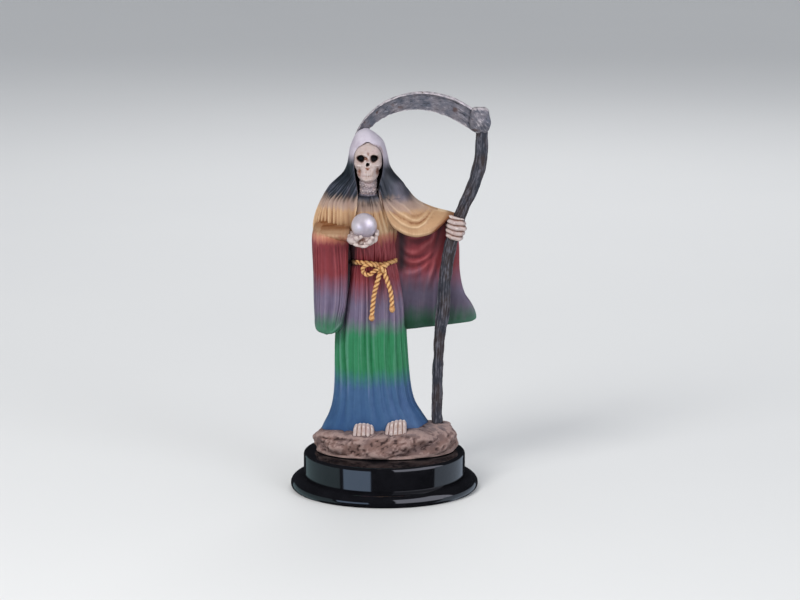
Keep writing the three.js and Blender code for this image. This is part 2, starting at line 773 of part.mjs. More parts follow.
function mesh(name, shape, material) {
  const { numProp, vertProperties, triVerts } = shape.getMesh();
  const geometry = new THREE.BufferGeometry();
  geometry.setAttribute("position", new THREE.BufferAttribute(vertProperties, numProp));
  geometry.setIndex(new THREE.BufferAttribute(triVerts, 1));
  const made = new THREE.Mesh(geometry, new THREE.MeshStandardMaterial(material));
  made.name = name;
  return made;
}

const group = new THREE.Group();
group.add(mesh("plinth", plinth(), { color: 0x0c0c0e, roughness: 0.12, metalness: 0 }));

const carving = new THREE.Group();
carving.position.z = FOOT_HEIGHT + DRUM_HEIGHT + GLUE_GAP;
carving.scale.setScalar(UNIT);
carving.add(mesh("figure", figure(), { color: 0x7a4a50, roughness: 0.6, metalness: 0 }));
const ball = ellipsoid(at(0, 0, 0), sphere(BALL_RADIUS), 14, 9);
const pearl = mesh("crystal_ball", ball, { color: 0xb9afc2, roughness: 0.2, metalness: 0 });
pearl.position.copy(ballMiddle());
carving.add(pearl);
group.add(carving);

export default group;
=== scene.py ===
"""The looks of a small painted figurine: a robed skeleton with a scythe and a pearl ball on a gloss plinth.

The casting is drawn in units, which are hundredths of its height. Most of its tables are those of the
part's source, and its formulas run at a finer step and add the finer relief.
"""

import math

import bmesh
import bpy
import numpy as np
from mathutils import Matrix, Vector, noise
from numpy import cos, exp, sin


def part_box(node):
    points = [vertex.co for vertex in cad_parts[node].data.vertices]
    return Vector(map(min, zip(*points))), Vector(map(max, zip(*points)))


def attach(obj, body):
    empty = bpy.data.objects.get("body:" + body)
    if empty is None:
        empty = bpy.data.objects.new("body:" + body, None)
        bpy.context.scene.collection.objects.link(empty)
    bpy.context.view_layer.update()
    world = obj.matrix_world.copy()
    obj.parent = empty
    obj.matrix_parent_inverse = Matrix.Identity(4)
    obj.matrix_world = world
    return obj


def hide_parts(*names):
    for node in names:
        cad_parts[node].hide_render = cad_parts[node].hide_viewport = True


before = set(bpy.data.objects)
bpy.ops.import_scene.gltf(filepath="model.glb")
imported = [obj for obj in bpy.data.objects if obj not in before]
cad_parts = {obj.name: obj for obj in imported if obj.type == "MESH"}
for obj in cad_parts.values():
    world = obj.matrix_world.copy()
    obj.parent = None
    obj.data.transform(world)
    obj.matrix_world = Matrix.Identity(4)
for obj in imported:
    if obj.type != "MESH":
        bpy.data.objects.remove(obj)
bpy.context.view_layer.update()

UNIT = 0.00116
FIGURE_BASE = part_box("figure")[0].z
TURN = 2 * math.pi


# Reading tables


def reading(rows):
    """A smooth reading of a table of places and the values there. It gives one array for each value."""
    table = np.array(rows, float)
    place, values = table[:, 0], table[:, 1:]
    order = np.arange(len(place))
    before, after = np.maximum(order - 1, 0), np.minimum(order + 1, len(place) - 1)
    slope = (values[after] - values[before]) / (place[after] - place[before])[:, None]

    def read(where):
        p = np.clip(np.asarray(where, float), place[0], place[-1])
        i = np.clip(np.searchsorted(place, p, side="right") - 1, 0, len(place) - 2)
        span = (place[i + 1] - place[i])[..., None]
        t = (p - place[i])[..., None] / span
        straight = values[i] * (1 + 2 * t) * (1 - t) ** 2 + values[i + 1] * t * t * (3 - 2 * t)
        bent = straight + span * t * (1 - t) * (slope[i] * (1 - t) - slope[i + 1] * t)
        return np.moveaxis(bent, -1, 0)

    return read


def ease(value, low, high):
    """0 at low, 1 at high, and smooth between them. It falls where high is the smaller number."""
    t = np.clip((value - low) / (high - low), 0, 1)
    return t * t * (3 - 2 * t)


def mix(a, b, t):
    return a + (b - a) * t


def squared(value, corner):
    return np.sign(value) * abs(value) ** corner


def bump(value, middle, width):
    return exp(-(((value - middle) / width) ** 2))


def xyz(x, y, z):
    return np.stack(np.broadcast_arrays(x, y, z), -1)


def ring(count):
    """Angles of a closed ring, as one row."""
    return np.linspace(0, TURN, count, endpoint=False)[None]


def around(front, back):
    """As ring, with a count for the front half (sine below 0) and one for the back half."""
    behind = np.linspace(0, TURN / 2, back, endpoint=False)
    before = np.linspace(TURN / 2, TURN, front, endpoint=False)
    return np.concatenate([behind, before])[None]


def column(*stretches):
    """Places down one column, in evenly spaced stretches: from, to and count."""
    return np.concatenate([np.linspace(*stretch) for stretch in stretches])[:, None]


def swing(low, high, way, out=0):
    """From low to high as way goes from -1 to 1, and further out by a relief."""
    return (low + high) / 2 + ((high - low) / 2 + out) * way


def ripples(across, along, low, high, drift, seed):
    """Uneven ripples of about 1 in height: a sum of waves of many widths that wander along their length."""
    rng = np.random.default_rng(seed)
    total = 0
    for count in np.linspace(low, high, 7):
        phase = rng.uniform(0, TURN) + rng.uniform(-drift, drift) * along
        total = total + rng.uniform(0.5, 1) * cos(count * across + phase)
    return total / 2


def grain(points, scale, seed=0):
    """Smooth noise from -1 to 1 at each point."""
    flat = np.asarray(points).reshape(-1, 3) * scale + seed
    return np.array([noise.noise(Vector(p)) for p in flat]).reshape(np.shape(points)[:-1])


def cells(points, scale, seed=0):
    """How far each point is from the borders of noise cells, 0 on a border."""
    flat = np.asarray(points).reshape(-1, 3) * scale + seed
    found = [noise.voronoi(Vector(p))[0] for p in flat]
    return np.array([d[1] - d[0] for d in found]).reshape(np.shape(points)[:-1])


# Building meshes

CLOTH = ["robe", "hood", "cape", "swag", "sleeve", "forearm", "hollow", "mouth"]
BONE = ["skull", "neck", "cup", "grip", "feet", "seat"]
PARTS = [*CLOTH, *BONE, "rope", "rock", "staff", "blade", "socket"]


def new_object(name, vertices, faces):
    mesh = bpy.data.meshes.new(name)
    mesh.from_pydata(vertices.tolist(), [], faces)
    made = bpy.data.objects.new(name, mesh)
    bpy.context.scene.collection.objects.link(made)
    return made


def read_all(data, name, width=3, kind=float):
    """One property of every item of a mesh, as rows of a width."""
    found = np.zeros(width * len(data), kind)
    data.foreach_get(name, found)
    return found.reshape(-1, width)


def skin(part, rings):
    """A closed mesh over rings of points, (rings, points, 3) in units, with a fan at each end."""
    rings = np.asarray(rings, float)
    count, sides = rings.shape[:2]
    vertices = np.concatenate([rings.reshape(-1, 3), rings[[0, -1]].mean(1)])
    i = np.arange(sides)
    j = (i + 1) % sides
    rows = np.arange(count - 1)[:, None] * sides
    quads = np.stack([rows + i, rows + j, rows + j + sides, rows + i + sides], -1).reshape(-1, 4)
    last = (count - 1) * sides
    low = np.stack([np.full(sides, count * sides), j, i], 1)
    high = np.stack([np.full(sides, count * sides + 1), last + i, last + j], 1)
    corners = vertices[quads]
    fans = np.concatenate([low, high])
    split = np.concatenate([corners[:, [0, 1, 2]], corners[:, [0, 2, 3]], vertices[fans]])
    if np.einsum("ij,ij->i", split[:, 0], np.cross(split[:, 1], split[:, 2])).sum() < 0:
        quads, fans = quads[:, ::-1], fans[:, ::-1]
    made = new_object(part, vertices, quads.tolist() + fans.tolist())
    for _ in PARTS:
        made.data.materials.append(None)
    made.data.polygons.foreach_set("material_index", [PARTS.index(part)] * len(made.data.polygons))
    return made


def combine(base, operation, others):
    """Joins other closed meshes to the base, or cuts them from it. The faces keep their part's number."""
    for other in others:
        modifier = base.modifiers.new(operation, "BOOLEAN")
        modifier.operation = operation
        modifier.solver = "MANIFOLD"
        modifier.object = other
        evaluated = base.evaluated_get(bpy.context.evaluated_depsgraph_get())
        result = bpy.data.meshes.new_from_object(evaluated)
        base.modifiers.clear()
        spent = [base.data, other.data]
        base.data = result
        bpy.data.objects.remove(other)
        for mesh in spent:
            bpy.data.meshes.remove(mesh)
    return base


def curve(points, count):
    """Evenly spaced points along a smooth line, the directions there, and the length of the line."""
    p = np.array(points, float)
    p = np.concatenate([[2 * p[0] - p[1]], p, [2 * p[-1] - p[-2]]])
    t = np.linspace(0, 1, 60, endpoint=False)[:, None]
    fine = []
    for a, b, c, d in zip(p, p[1:], p[2:], p[3:]):
        square, cube = (2 * a - 5 * b + 4 * c - d) * t**2, (3 * b - a - 3 * c + d) * t**3
        fine.append(0.5 * (2 * b + (c - a) * t + square + cube))
    fine = np.concatenate([*fine, p[-2:-1]])
    run = np.concatenate([[0], np.linalg.norm(np.diff(fine, axis=0), axis=1).cumsum()])
    where = np.linspace(0, run[-1], count)
    line = np.stack([np.interp(where, run, fine[:, k]) for k in range(3)], 1)
    along = np.gradient(line, axis=0)
    return line, along / np.linalg.norm(along, axis=1)[:, None], run[-1]


def tube(part, points, count, sides, radius):
    """A closed rod along a smooth line. radius(t, angle, length) is its radius at a share t of its length."""
    line, along, length = curve(points, count)
    u = np.cross([0.31, 0.87, 0.38], along)
    u /= np.linalg.norm(u, axis=1)[:, None]
    v = np.cross(along, u)
    angle = ring(sides)
    r = (radius(column((0, 1, count)), angle, length) * np.ones((count, sides)))[..., None]
    way = cos(angle)[..., None] * u[:, None] + sin(angle)[..., None] * v[:, None]
    return skin(part, line[:, None] + r * way)


def ball_of(part, centre, radii, sides=24, rows=16):
    rise = column((-TURN / 4, TURN / 4, rows + 1))[1:-1]
    angle = ring(sides)
    way = xyz(cos(rise) * cos(angle), cos(rise) * sin(angle), sin(rise))
    return skin(part, way * np.array(radii) + np.array(centre))


# The rock

ROCK_HALF_WIDTH = 19.4
ROCK_HALF_DEPTH = 13
ROCK_TOP = 7.2
# Share of the height, then of the half width
ROCK_SIDE = reading(
    [[0, 0.99], [0.2, 1.02], [0.5, 1.01], [0.72, 0.975], [0.86, 0.88], [0.95, 0.62], [1, 0.3]]
)


def rock():
    up, a = column((0, 0.9, 25), (0.92, 1, 9)), ring(220)
    (wide,) = ROCK_SIDE(up)
    z = up * ROCK_TOP
    lump = 0.6 * sin(3 * a + 0.7 * z) + 0.8 * sin(7 * a - 1.1 * z + 2) + 0.5 * sin(11 * a + z)
    out = 0.5 * lump * ease(up, 0, 0.05) * ease(up, 0.97, 0.86)
    knob = 1.7 * up * wide * bump(cos(a), 1, 0.12)
    x = (ROCK_HALF_WIDTH * wide + out) * cos(a) + 0.3
    y = (ROCK_HALF_DEPTH * wide + out) * sin(a)
    points = xyz(x, y, z + knob + up * bump(x, 8, 3.5) * bump(y, -9.5, 3))
    pits = 0.42 * grain(points, 0.3, 3) + 0.22 * grain(points, 0.8, 9) + 0.12 * grain(points, 1.8, 5)
    pits = pits - 0.3 * ease(grain(points, 0.75, 41), 0.22, 0.45)
    warped = points * [0.7, 0.9, 1] + 1.2 * grain(points, 0.35, 4)[..., None]
    cracks = 0.34 * bump(cells(warped, 0.36, 2), 0, 0.07) * ease(grain(points, 0.2, 7), -0.1, 0.2)
    ledge = 0.35 * bump(z, 5.1 + 0.5 * sin(3 * a), 0.3) * ease(grain(points, 0.15, 21), -0.3, 0.1)
    relief = (pits - cracks - ledge - 0.1) * ease(up, 0, 0.08)
    side = ease(up, 1, 0.9)
    shift = xyz(cos(a) * side, sin(a) * side, 0.5 * ease(up, 0.7, 0.95))
    return skin("rock", points + relief[..., None] * shift)


# The robe

# Height, middle x, middle y, half width, half depth, fold depth
ROBE = reading([
    [5, -2.2, 1, 15.6, 8.8, 0.15],
    [7.5, -2.2, 1, 14.5, 8.1, 0.2],
    [10, -2.4, 1, 13, 7.5, 0.35],
    [14, -3, 1, 11.2, 6.9, 0.42],
    [20, -3.35, 1, 10.2, 6.6, 0.48],
    [30, -3.7, 1, 9.7, 6.4, 0.48],
    [42, -3.5, 0.9, 9, 6.1, 0.42],
    [53.5, -3.8, 0.7, 6.9, 5.4, 0.3],
    [56, -3.8, 0.7, 7, 5.6, 0.35],
    [63, -3.9, 0.6, 7.4, 5.9, 0.35],
    [69, -4.1, 0.5, 6.4, 6.4, 0.3],
    [71.3, -4.3, 0.4, 5, 7.1, 0.15],
    [72.1, -4.35, 0.3, 4.2, 7.1, 0.1],
    [73, -4.4, 0.2, 3.2, 5.2, 0],
])
ROBE_FOLDS = 22
# How much shallower the robe is behind, as a share
FLAT_BEHIND = 0.15
BELT_HEIGHT = 53.5


def fold_angle(line):
    even = TURN * line / ROBE_FOLDS
    return even + 0.06 * sin(3 * even + 1) + 0.04 * sin(5 * even)


def on_robe(z, line, extra=0):
    """Points of the robe at heights and fold lines. Whole lines are ridges, halves are hollows."""
    x, y, wide, deep, fold = ROBE(z)
    a = fold_angle(line)
    slant = 0.12 * np.maximum(z - BELT_HEIGHT, 0)
    height = 0.62 + 0.38 * cos(2.3 * line + 0.03 * z)
    main = cos(TURN * (line + slant + 0.2 * sin(0.1 * z + 1.7 * line)))
    swell = mix(0.35, 0.85, ease(z, 10, 26)) * mix(1, 0.55, ease(z, 50, 60))
    gathers = 0.045 + 0.12 * bump(z, BELT_HEIGHT, 4) + 0.02 * ease(z, 56, 62)
    fine = gathers * ripples(a, z, 42, 92, 0.12, 4) * ease(z, 6, 20)
    pinch = -0.25 * bump(z, BELT_HEIGHT - 0.4, 1.3)
    out = extra + fold * height * swell * main + fine + pinch
    flat = np.where(sin(a) > 0, 1 - FLAT_BEHIND * ease(z, 12, 24), 1)
    return xyz(x + (wide + out) * cos(a), y + flat * (deep + out) * sin(a), z)


def robe():
    z = column((5, 50, 44), (50.6, 59, 16), (59.8, 73, 16))
    return skin("robe", on_robe(z, around(150, 46) * ROBE_FOLDS / TURN))


# The cloak's hanging back and the open sleeve of the raised arm

# Height, left x, right x, front y, back y
CAPE = reading([
    [33.2, -17.4, 24.9, 0.4, 8],
    [34, -17.8, 25.5, 0.1, 8.1],
    [36, -18.4, 25.2, -0.4, 8.2],
    [39, -18.9, 24.1, -0.6, 8.1],
    [43, -19, 22.2, -0.6, 7.9],
    [50, -19.2, 20.9, -0.6, 7.7],
    [58, -19.3, 20.6, -0.6, 7.6],
    [62, -19, 19.6, -0.6, 7.6],
    [66, -17.8, 17.6, -0.5, 7.5],
    [70, -15.6, 8, -0.5, 7],
    [74, -12.6, 4, -0.5, 5.4],
])
# The hem's height, and how much higher it hangs for each unit to the right
HEM = 33.2
HEM_RISE = 0.11


def panel_folds(x, z):
    """Folds of the open sleeve: bowls hanging from the raised arm, and slanting folds round them."""
    u = x - 8.2 - 0.12 * (z - 54)
    bowls = exp(-((abs(u) / 4.6) ** 4)) * ease(z, 47, 51.5) * ease(z, 62.5, 60)
    level = z - 53 - 0.12 * u**2 - 0.1 * u
    bowl = (0.5 + 0.5 * cos(TURN * level / 3.3 + 1.1 * sin(0.75 * level + 0.3 * u))) ** 1.3
    uneven = 0.75 + 0.25 * sin(1.3 * level + 0.8 * u)
    slanting = cos(TURN * (x + 0.3 * (50 - z)) / 2.6) * bump(x, 13.2, 2.2) * ease(z, 44, 51)
    upright = cos(TURN * (x + 0.2 * (50 - z) + 0.4 * sin(0.2 * z)) / 6) * ease(x, 15, 11)
    folds = 0.6 * uneven * bowls * (bowl - 0.4) + (1 - bowls) * (0.12 * upright + 0.26 * slanting)
    return ease(x, 3.5, 6) * (folds + 0.02 * ripples(x + 0.2 * (50 - z), z, 1.5, 4, 0.1, 8))


def cape():
    z, a = column((HEM, 36, 7), (36.6, 62, 46), (62.8, 74, 12)), around(160, 80)
    left, right, front, back = CAPE(z)
    seam = mix(front, back, 0.35)
    hang = ease(z, 50, HEM)
    inset = 0.975 + 0.025 * ease(z, HEM, HEM + 0.5)
    x = swing(left, right, inset * cos(a))
    behind = sin(a) > 0
    depth = abs(sin(a)) ** np.where(behind, 0.8, 0.45)
    broad = 0.75 * ease(z, 70, 56) * cos(9 * a + 0.5 * sin(0.15 * z))
    rear = broad + 0.16 * ripples(a, z, 14, 30, 0.1, 6) * ease(z, 74, 60)
    pleat = np.where(behind, rear, -panel_folds(x, z))
    y = seam + inset * np.where(behind, back - seam, front - seam) * depth + pleat * depth
    return skin("cape", xyz(x, y, z + HEM_RISE * hang * np.maximum(x, 0)))


# The hood and the shoulders

# Height, left x, right x, front y, back y, fold depth
HOOD = reading([
    [61.5, -19.4, 2.5, -5.8, 5, 0.25],
    [64, -19.4, 4, -5.8, 5.8, 0.3],
    [67.2, -18.6, 5.6, -5.8, 6.6, 0.3],
    [71.1, -16.8, 6.9, -5.6, 7.1, 0.28],
    [74.2, -14.8, 5.7, -5.4, 7.1, 0.25],
    [75.8, -13.1, 4.4, -5.3, 7, 0.22],
    [77.6, -11.3, 2.8, -5.3, 6.9, 0.15],
    [79.7, -10.3, 1.6, -5.4, 6.8, 0.06],
    [82, -9.8, 1.1, -5.6, 6.7, 0],
    [84.5, -9.4, 0.5, -5.8, 6.4, 0],
    [86.5, -8.7, -0.2, -5.6, 5.8, 0],
    [88, -8, -1.6, -4.8, 4.8, 0],
    [89.2, -7, -3.2, -3.2, 3.4, 0],
    [89.9, -5.6, -4.4, -1, 1.4, 0],
])
# The space inside the hood: height, left x, right x, back y
HOLLOW = reading([
    [60, -9.4, 3.6, -3],
    [64, -8.7, 1.4, -3],
    [68, -7.6, 0, -2.6],
    [72, -7.2, -1.3, -2],
    [75, -7.5, -1.3, -1.2],
    [78, -8, -0.5, -0.6],
    [81, -8.3, -0.15, -0.4],
    [83.5, -8.1, -0.5, -0.6],
    [85.3, -7.2, -1.4, -1.4],
    [86.3, -5.9, -3, -3],
    [87, -4.8, -4.2, -4.4],
])
HOLLOW_FRONT = -12
# Where the pleats hang from the shoulders: middle x and half width
PLEAT_MIDDLE = -5
PLEAT_HALF_WIDTH = 14.6
HOOD_CORNER = 0.86


def hood():
    z, a = column((61.5, 86, 48), (86.3, 89.9, 11)), around(176, 40)
    left, right, front, back, fold = HOOD(z)
    across, behind = squared(cos(a), HOOD_CORNER), sin(a) > 0
    share = (swing(left, right, across) - PLEAT_MIDDLE) / PLEAT_HALF_WIDTH
    hanging = TURN - np.arccos(np.clip(squared(share, 1 / HOOD_CORNER), -1, 1))
    hanging = mix(hanging, a, np.maximum(ease(z, 69, 74.5), ease(-cos(a), 0.75, 0.95)))
    pleats = 0.3 * cos(58 * hanging + 1.6 * sin(4 * hanging)) + 0.42 * ripples(hanging, z, 30, 84, 0.1, 2)
    pleats = pleats + 0.5 * cos(19 * a + 0.8) * ease(z, 70, 75)
    pleats = pleats * (1 - 0.85 * ease(cos(a), 0.35, 0.7))
    out = np.where(behind, 0.4 * ripples(a, z, 10, 22, 0.1, 5), pleats) * fold
    x = swing(left, right, across, out)
    y = swing(front, back, squared(sin(a), HOOD_CORNER), out)
    mouth_left, mouth_right, _ = HOLLOW(z)
    rim = bump(x, mouth_right + 0.5, 0.7) + bump(x, mouth_left - 0.5, 0.7)
    rim = rim * ease(z, 76, 80) * ease(z, 86, 84.5)
    return skin("hood", xyz(x, y - np.where(sin(a) < 0, 0.3 * rim, 0), z))


def hollow():
    z, a = column((60, 87, 56)), ring(56)
    left, right, back = HOLLOW(z)
    x = swing(left, right, squared(cos(a), 0.6))
    return skin("hollow", xyz(x, swing(HOLLOW_FRONT, back, squared(sin(a), 0.6)), z))


# The swag over the raised arm

# x, height of the shoulder line, height of the lower edge, how far the belly stands out, back y
SWAG = reading([
    [-1.1, 76.5, 73.2, 5.4, 2],
    [0.5, 76, 67.4, 6.2, 2],
    [2.2, 75.4, 64.1, 6.6, 3],
    [3.8, 74.7, 62.8, 6.9, 3.5],
    [5.7, 73.7, 61.8, 7.1, 4],
    [8, 70.8, 61.2, 7.2, 4.5],
    [9.8, 69.3, 61.2, 7.2, 4.5],
    [13.1, 67.8, 62.1, 6.6, 4.4],
    [15.3, 67.2, 63.7, 5.6, 4],
    [17.7, 66.8, 65.8, 4, 2.6],
    [19.6, 66.5, 65.9, 2.6, 0.4],
])
# x, then the share of the way down the swag of each of its three curved folds
SWAG_FOLDS = reading([
    [-1, 0.3, 0.45, 0.66],
    [0.5, 0.3, 0.5, 0.7],
    [2.2, 0.31, 0.53, 0.72],
    [4.5, 0.36, 0.57, 0.77],
    [6.8, 0.36, 0.56, 0.765],
    [8.1, 0.3, 0.52, 0.72],
    [9.8, 0.14, 0.42, 0.64],
    [11.4, 0, 0.22, 0.48],
    [12.75, 0, 0, 0.23],
    [13.7, 0, 0, 0],
])


def swag():
    x, t = column((-1.1, 19.6, 74)), np.linspace(0, 1, 62)[None]
    top, low, out, back = SWAG(x)
    fold = 0.035 * ripples(t * 6, x, 4, 9, 0.15, 11) * sin(math.pi * t)
    for line, height in zip(SWAG_FOLDS(x), (0.2, 0.28, 0.42)):
        near = sin(math.pi * np.clip(line, 0, 1)) ** 0.5
        fold = fold + height * near * (bump(t, line, 0.05) - 0.8 * bump(t, line - 0.1, 0.05))
    fold = fold * ease(x, -0.5, 2)
    belly = out * sin(math.pi / 2 * np.minimum(1, 1.15 * t)) ** 0.8
    face = xyz(x, -belly - fold, mix(top, low, t))
    lip, turned = (xyz(x, -out * share, low - 0.2) for share in (0.95, 0.8))
    under = xyz(x, back * 0.2, mix(low, top, 0.35))
    t = np.linspace(0.4, 1, 9)[None]
    behind = xyz(x, back * sin(math.pi * (0.35 + 0.3 * t)), mix(low, top, t))
    return skin("swag", np.concatenate([face, lip, turned, under, behind], 1))


# The hanging sleeve of the bent arm

# Height, left x, right x, front y, back y, roundness
SLEEVE = reading([
    [33.5, -16.4, -13.8, -5.2, 4, 0.6],
    [34.2, -18.4, -12.4, -6, 4.5, 0.58],
    [35.6, -19.1, -11.4, -6.6, 4.8, 0.57],
    [38, -19.2, -10.9, -7, 5, 0.57],
    [42.6, -19.4, -9.8, -7.2, 5.2, 0.57],
    [50, -19.5, -9.3, -7.4, 5.2, 0.6],
    [57.4, -19.8, -9.3, -8, 4.8, 0.7],
    [60.6, -19.8, -9.3, -8.7, 4.2, 0.78],
    [62.4, -19.5, -9.4, -8.4, 3.6, 0.85],
    [63.8, -19, -9.8, -6, 2.8, 0.95],
    [66, -17.6, -11, -3, 1.5, 1],
])
# Height, x of the front layer's edge
LIP = reading(
    [[33.4, -16.2], [34.4, -14.2], [35.8, -12.7], [38, -11.6], [42, -10.9], [48, -10.5], [58, -10.3]]
)
# x, middle y, middle height, half depth, half height
FOREARM = reading([
    [-19.3, -2.5, 60.6, 1.6, 1],
    [-17.5, -4.4, 61.6, 3.2, 1.9],
    [-14, -6.1, 62, 3, 2.1],
    [-10.6, -7.2, 62.2, 2.5, 2],
    [-9.4, -7.5, 62.2, 2.1, 1.7],
])
# Height, then how deep the sleeve's mouth is
MOUTH_DEPTH = reading([[36, 0.1], [40, 1.4], [48, 2.2], [56, 2.4], [60, 0.4]])


def sleeve():
    z, a = column((33.5, 37, 12), (37.6, 66, 50)), around(120, 50)
    left, right, front, back, corner = SLEEVE(z)
    reach = ease(z, 33, 39) * ease(z, 60, 57.5)
    out = reach * (0.06 * cos(30 * a + 0.8 * sin(3 * a)) + 0.12 * ripples(a, z, 16, 50, 0.1, 21))
    x = swing(left, right, squared(cos(a), corner))
    y = swing(front, back, squared(sin(a), corner), out)
    (edge,) = LIP(z)
    lip = 0.3 * bump(x, edge, 0.4) * ease(z, 59, 56)
    step = 0.9 * ease(x, edge + 0.2, edge + 0.9) * ease(z, 58, 52)
    return skin("sleeve", xyz(x, y + np.where(sin(a) < 0, step - lip, 0), z))


def forearm():
    x, a = column((-19.3, -9.4, 44)), ring(40)
    y, z, deep, high = FOREARM(x)
    cuff = 0.22 * ease(x, -11, -10.4) + 0.05 * ripples(a * 2, x, 3, 8, 0.6, 31)
    out = cuff - 0.25 * bump(a, TURN * 0.36, 0.14) * ease(x, -10, -12)
    return skin("forearm", xyz(x, y + (deep + out) * cos(a), z + (high + out) * sin(a)))


def sleeve_mouth():
    z, a = column((36, 60, 40)), ring(20)
    _, right, _, _, _ = SLEEVE(z)
    (deep,) = MOUTH_DEPTH(z)
    return skin("mouth", xyz(right + 0.6 + (deep + 0.6) * cos(a), -4.2 + 1.4 * sin(a), z))


# The skull and neck

# Height, half width, front y
SKULL = reading([
    [76, 1.3, -6.2],
    [76.4, 2, -6.75],
    [77.1, 2.6, -7],
    [78.1, 2.98, -6.95],
    [79, 3.08, -6.75],
    [79.8, 3.6, -6.6],
    [80.7, 3.86, -6.5],
    [81.8, 3.9, -6.35],
    [83.3, 3.86, -6.6],
    [84.5, 3.62, -6.5],
    [85.7, 2.9, -6],
    [86.7, 1.7, -4.9],
])
SKULL_X = -4.42
SKULL_BACK = 0.6
# Places on the face from its middle: x, height, half width, half height, strength
SOCKETS = [(-1.9, 82.5, 1.05, 1.08, 1), (1.72, 82.55, 1.02, 1.1, 1)]
NOSTRILS = [(-0.12, 80.85, 0.42, 0.56, 1), (0.24, 80.95, 0.3, 0.44, 0.7)]
INNER_CORNER = (-0.7, 82.6, 0.6, 0.5, 0.8)
STAINS = [
    (0, 83.95, 0.28, 0.5, 0.6),
    (-0.1, 82.2, 0.45, 0.6, 0.7),
    (-0.34, 79.95, 0.34, 0.28, 0.9),
    (0.24, 79.9, 0.34, 0.3, 0.8),
    (-0.08, 79.65, 0.34, 0.28, 1),
    (-2.3, 78.6, 0.5, 1.3, 0.85),
    (2.6, 78.9, 0.45, 1.2, 0.85),
    (0.4, 76.6, 1, 0.3, 0.2),
]
CHEEK_SHADOW = (2.75, 79, 0.4, 1, 1)
# How far each form stands out, then its middle and half width, across the face and up it
PAIRED_FORMS = [
    (0.5, (1.8, 1.3), (83.6, 0.4)),
    (0.6, (3.05, 0.8), (80.7, 0.5)),
    (0.3, (2.2, 0.8), (80.6, 0.35)),
    (0.25, (1.2, 0.5), (79.3, 0.7)),
    (0.35, (2.75, 0.35), (77.4, 1.1)),
    (-0.7, (2.25, 0.5), (78.8, 0.85)),
]
MIDDLE_FORMS = [
    (0.4, (0.25, 0.4), (82.2, 0.9)),
    (0.3, (0.2, 0.8), (79.75, 0.25)),
    (-0.2, (0.2, 0.25), (83.75, 0.45)),
]
JAW_FORMS = [(0.42, (78.5, 0.85)), (0.42, (76.7, 0.55)), (-0.12, (77.8, 0.2))]
TOOTH_PITCH = 0.62


def spot(x, z, place, low=0.45, high=1.25):
    """1 at a place on the face, falling to 0 round it, with an uneven outline."""
    middle_x, middle_z, wide, high_half, strength = place
    across, up = (x - middle_x) / wide, (z - middle_z) / high_half
    reach = (across**2 + up**2) * (1 + 0.12 * sin(3 * np.arctan2(up, across) + 2.5 * middle_x))
    return strength * ease(reach, high, low)


def face_relief(x, z):
    """How far the face stands out, over places measured from its middle line."""
    side = abs(x - 0.2)
    jaw = exp(-(((x - 0.1) / 2.1) ** 4))
    out = sum(high * bump(side, *across) * bump(z, *up) for high, across, up in PAIRED_FORMS)
    out += sum(high * bump(x, *across) * bump(z, *up) for high, across, up in MIDDLE_FORMS)
    out += jaw * sum(high * bump(z, *up) for high, up in JAW_FORMS)
    out += 0.045 * jaw * bump(z, 78.2, 0.8) * cos(TURN * x / TOOTH_PITCH + 1)
    out -= 1.5 * sum(spot(x, z, place, 0.3, 1.25) for place in SOCKETS)
    out -= 0.7 * spot(x, z, INNER_CORNER, 0.3, 1.3)
    return out - 0.8 * sum(spot(x, z, place, 0.3, 1.4) for place in NOSTRILS)


def skull():
    z, a = column((76, 86.7, 88)), around(120, 16)
    wide, front = SKULL(z)
    x = wide * squared(cos(a), 0.85)
    points = xyz(x + SKULL_X, swing(front, SKULL_BACK, sin(a)), z)
    rough = 0.12 * grain(points, 0.9, 4) + 0.04 * grain(points, 2.5, 1)
    relief = (face_relief(x, z) + rough) * ease(-sin(a), 0.05, 0.4) * ease(z, 76, 76.4)
    return skin("skull", points - relief[..., None] * np.array([0, 1, 0]))


NECK_X = -4.3
# Height, radius
NECK = reading([[70.5, 2.3], [72, 2.5], [72.8, 2.35], [73.6, 2.5], [74.4, 2.3], [75.2, 2.45], [77, 2.2]])


def neck():
    z, a = column((70.5, 77, 42)), ring(76)
    (r,) = NECK(z)
    points = xyz(NECK_X + r * cos(a), -3.6 + r * sin(a), z)
    knobs = 0.42 * (np.minimum(cells(points * [1, 1, 1.1], 1.35, 3), 0.6) - 0.3)
    knobs = knobs + 0.1 * grain(points, 1.2, 3)
    return skin("neck", points + knobs[..., None] * xyz(cos(a), sin(a), 0))


# The hands and feet

BALL_X = -5.4
BALL_Y = -11
BALL_SEAT_LOW = 61.1
BALL_RADIUS = 8.1e-3 / 2 / UNIT
BALL_SEAT_RADIUS = BALL_RADIUS + 0.3e-3 / UNIT
BALL_MIDDLE = (BALL_X, BALL_Y, BALL_SEAT_LOW + BALL_SEAT_RADIUS)
# The ball lies closer in its seat here than in the solids, where the gap stands for the glue
THIN_GAP = 0.06e-3 / UNIT


def digit(part, joints, radius):
    bones = len(joints) - 1

    def thickness(t, angle, length):
        end = np.minimum(t, 1 - t) * length / (0.9 * radius)
        rounded = np.sqrt(np.clip(1 - (1 - np.clip(end, 0, 1)) ** 2, 0.02, 1))
        return radius * rounded * (0.92 + 0.2 * cos(TURN * t * bones))

    joints = np.array(joints, float)
    for end, inner in ((0, 1), (-1, -2)):
        way = joints[end] - joints[inner]
        joints[end] += 0.5 * radius * way / np.linalg.norm(way)
    return tube(part, joints, 26, 16, thickness)


